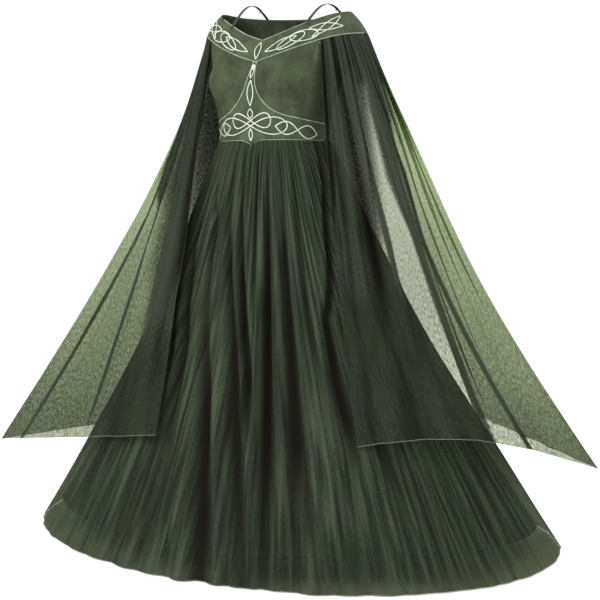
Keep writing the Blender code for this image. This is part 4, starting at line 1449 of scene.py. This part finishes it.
def on_band(along, up):
    """The surface of the neckline band: metres from the centre front, metres above its middle."""
    angles = np.linspace(0, 90, 361)
    middle = band_point(angles, np.full(361, 0.5))
    far = np.concatenate([[0], np.cumsum(np.linalg.norm(np.diff(middle, axis=0), axis=1))])
    angle = np.interp(np.abs(along), far, angles) * np.sign(along)
    deep = np.linalg.norm(band_point(angle, 0 * angle) - band_point(angle, 0 * angle + 1), axis=-1)
    points, normals = with_normals(band_point, angle, 0.5 - up / deep, 0.05, 0.005)
    return points + normals * BAND_T / 2, normals


def on_waistband(along, z):
    """The surface of the waistband: metres from the centre front, and height."""
    angles = np.linspace(0, 110, 441)
    angle = np.empty_like(along)
    for i, (far, height) in enumerate(zip(np.abs(along), z)):
        ring = bodice_point(angles, np.full(441, height))
        steps = np.linalg.norm(np.diff(ring, axis=0), axis=1)
        angle[i] = np.interp(far, np.concatenate([[0], np.cumsum(steps)]), angles)
    angle = angle * np.sign(along)
    points, normals = with_normals(bodice_point, angle, z, 0.05, -0.0005)
    return points + normals * BODICE_T / 2, normals


def band_strands():
    """The interlace on each half of the neckline band."""
    return [
        leaf((0.026, -0.0120), (0.112, 0.0020), 0.0125),
        loop((0.098, -0.0080), 0.037, 0.0150, 15),
        loop((0.131, -0.0060), 0.037, 0.0160, -12),
        leaf((0.150, -0.0190), (0.242, 0.0215), 0.0085),
        leaf((0.146, 0.0090), (0.234, -0.0085), 0.0105),
    ]


def build_knotwork(looks):
    """The pale cord interlace on the band, the centre strap and the waistband."""
    half = band_strands()
    for side, sign in (("left", 1), ("right", -1)):
        strands = [path * (sign, 1) for path in half]
        piece = cord_piece(f"neck_band_cords_{side}", strands, on_band, looks["cord"])
        kept(piece)
    middle = [leaf((0, -0.026), (0, 0.026), 0.0085)]
    piece = cord_piece("neck_band_leaf", middle, on_band, looks["cord"])
    kept(piece)
    waist = [
        bow((0, -0.3135), 0.055, 0.0185),
        bow((0, -0.3270), 0.096, 0.0215, 0.05),
        leaf((0, -0.3085), (0, -0.2840), 0.0075),
        leaf((0, -0.3635), (0, -0.3335), 0.0050),
    ]
    for sign in (1, -1):
        waist.append(twist((sign * 0.066, -0.328), (sign * 0.178, -0.348), 0.0160, 2))
    piece = cord_piece("waistband_cords", waist, on_waistband, looks["cord"])
    kept(piece)
    strap = [
        leaf((0, -0.277), (0, -0.213), 0.0085),
        leaf((-0.0015, -0.209), (0.0015, -0.176), 0.0048),
        loop((0, -0.181), 0.0042, 0.0062, 0),
    ]
    piece = cord_piece("centre_strap_cords", strap, on_waistband, looks["cord"])
    kept(piece)


def build_stage():
    """A pale floor under the hem, a pale surround, soft studio lights and the camera."""
    floor_z = CAD_BOX[0].z - FLOOR_DROP
    bpy.ops.mesh.primitive_plane_add(size=60, location=(0, 0, floor_z))
    floor = bpy.context.object
    floor.name = "floor"
    floor.data.materials.append(floor_material())
    world = bpy.data.worlds.new("studio")
    world.use_nodes = True
    world.node_tree.nodes["Background"].inputs["Color"].default_value = (1, 1, 1, 1)
    world.node_tree.nodes["Background"].inputs["Strength"].default_value = 1.06
    bpy.context.scene.world = world
    bpy.context.scene.view_settings.view_transform = "Standard"
    lights = {
        # place, width, power
        "key_light": ((-2.4, -3.2, 1.6), 2.2, 130),
        "fill_light": ((3.4, -2.2, 0.4), 2.6, 40),
        "front_light": ((1.5, -3.0, 1.5), 1.2, 40),
        "rim_light": ((1.2, 3.0, 1.6), 2.0, 80),
    }
    for name, (place, width, power) in lights.items():
        lamp = bpy.data.lights.new(name, "AREA")
        lamp.size = width
        lamp.energy = power
        light = bpy.data.objects.new(name, lamp)
        light.location = place
        aim = Vector((0, 0, AIM_Z)) - Vector(place)
        light.rotation_euler = aim.to_track_quat("-Z", "Y").to_euler()
        bpy.context.scene.collection.objects.link(light)
    right = Vector((math.cos(CAMERA_TURN), math.sin(CAMERA_TURN), 0))
    back = Vector(
        (
            math.sin(CAMERA_TURN) * math.cos(CAMERA_RISE),
            -math.cos(CAMERA_TURN) * math.cos(CAMERA_RISE),
            math.sin(CAMERA_RISE),
        )
    )
    lens = bpy.data.cameras.new("camera")
    lens.sensor_width = CAMERA_SENSOR
    lens.lens = CAMERA_LENS
    camera = bpy.data.objects.new("camera", lens)
    camera.location = right * AIM_SIDEWAYS + Vector((0, 0, AIM_Z)) + back * CAMERA_DISTANCE
    camera.rotation_euler = (-back).to_track_quat("-Z", "Y").to_euler()
    bpy.context.scene.collection.objects.link(camera)
    bpy.context.scene.camera = camera


looks = dress_materials()
build_bodice(looks)
build_seams(looks)
build_bands(looks)
build_skirt(looks)
build_sleeves(looks)
build_straps(looks)
build_zip(looks)
build_piping(looks)
build_knotwork(looks)
build_stage()
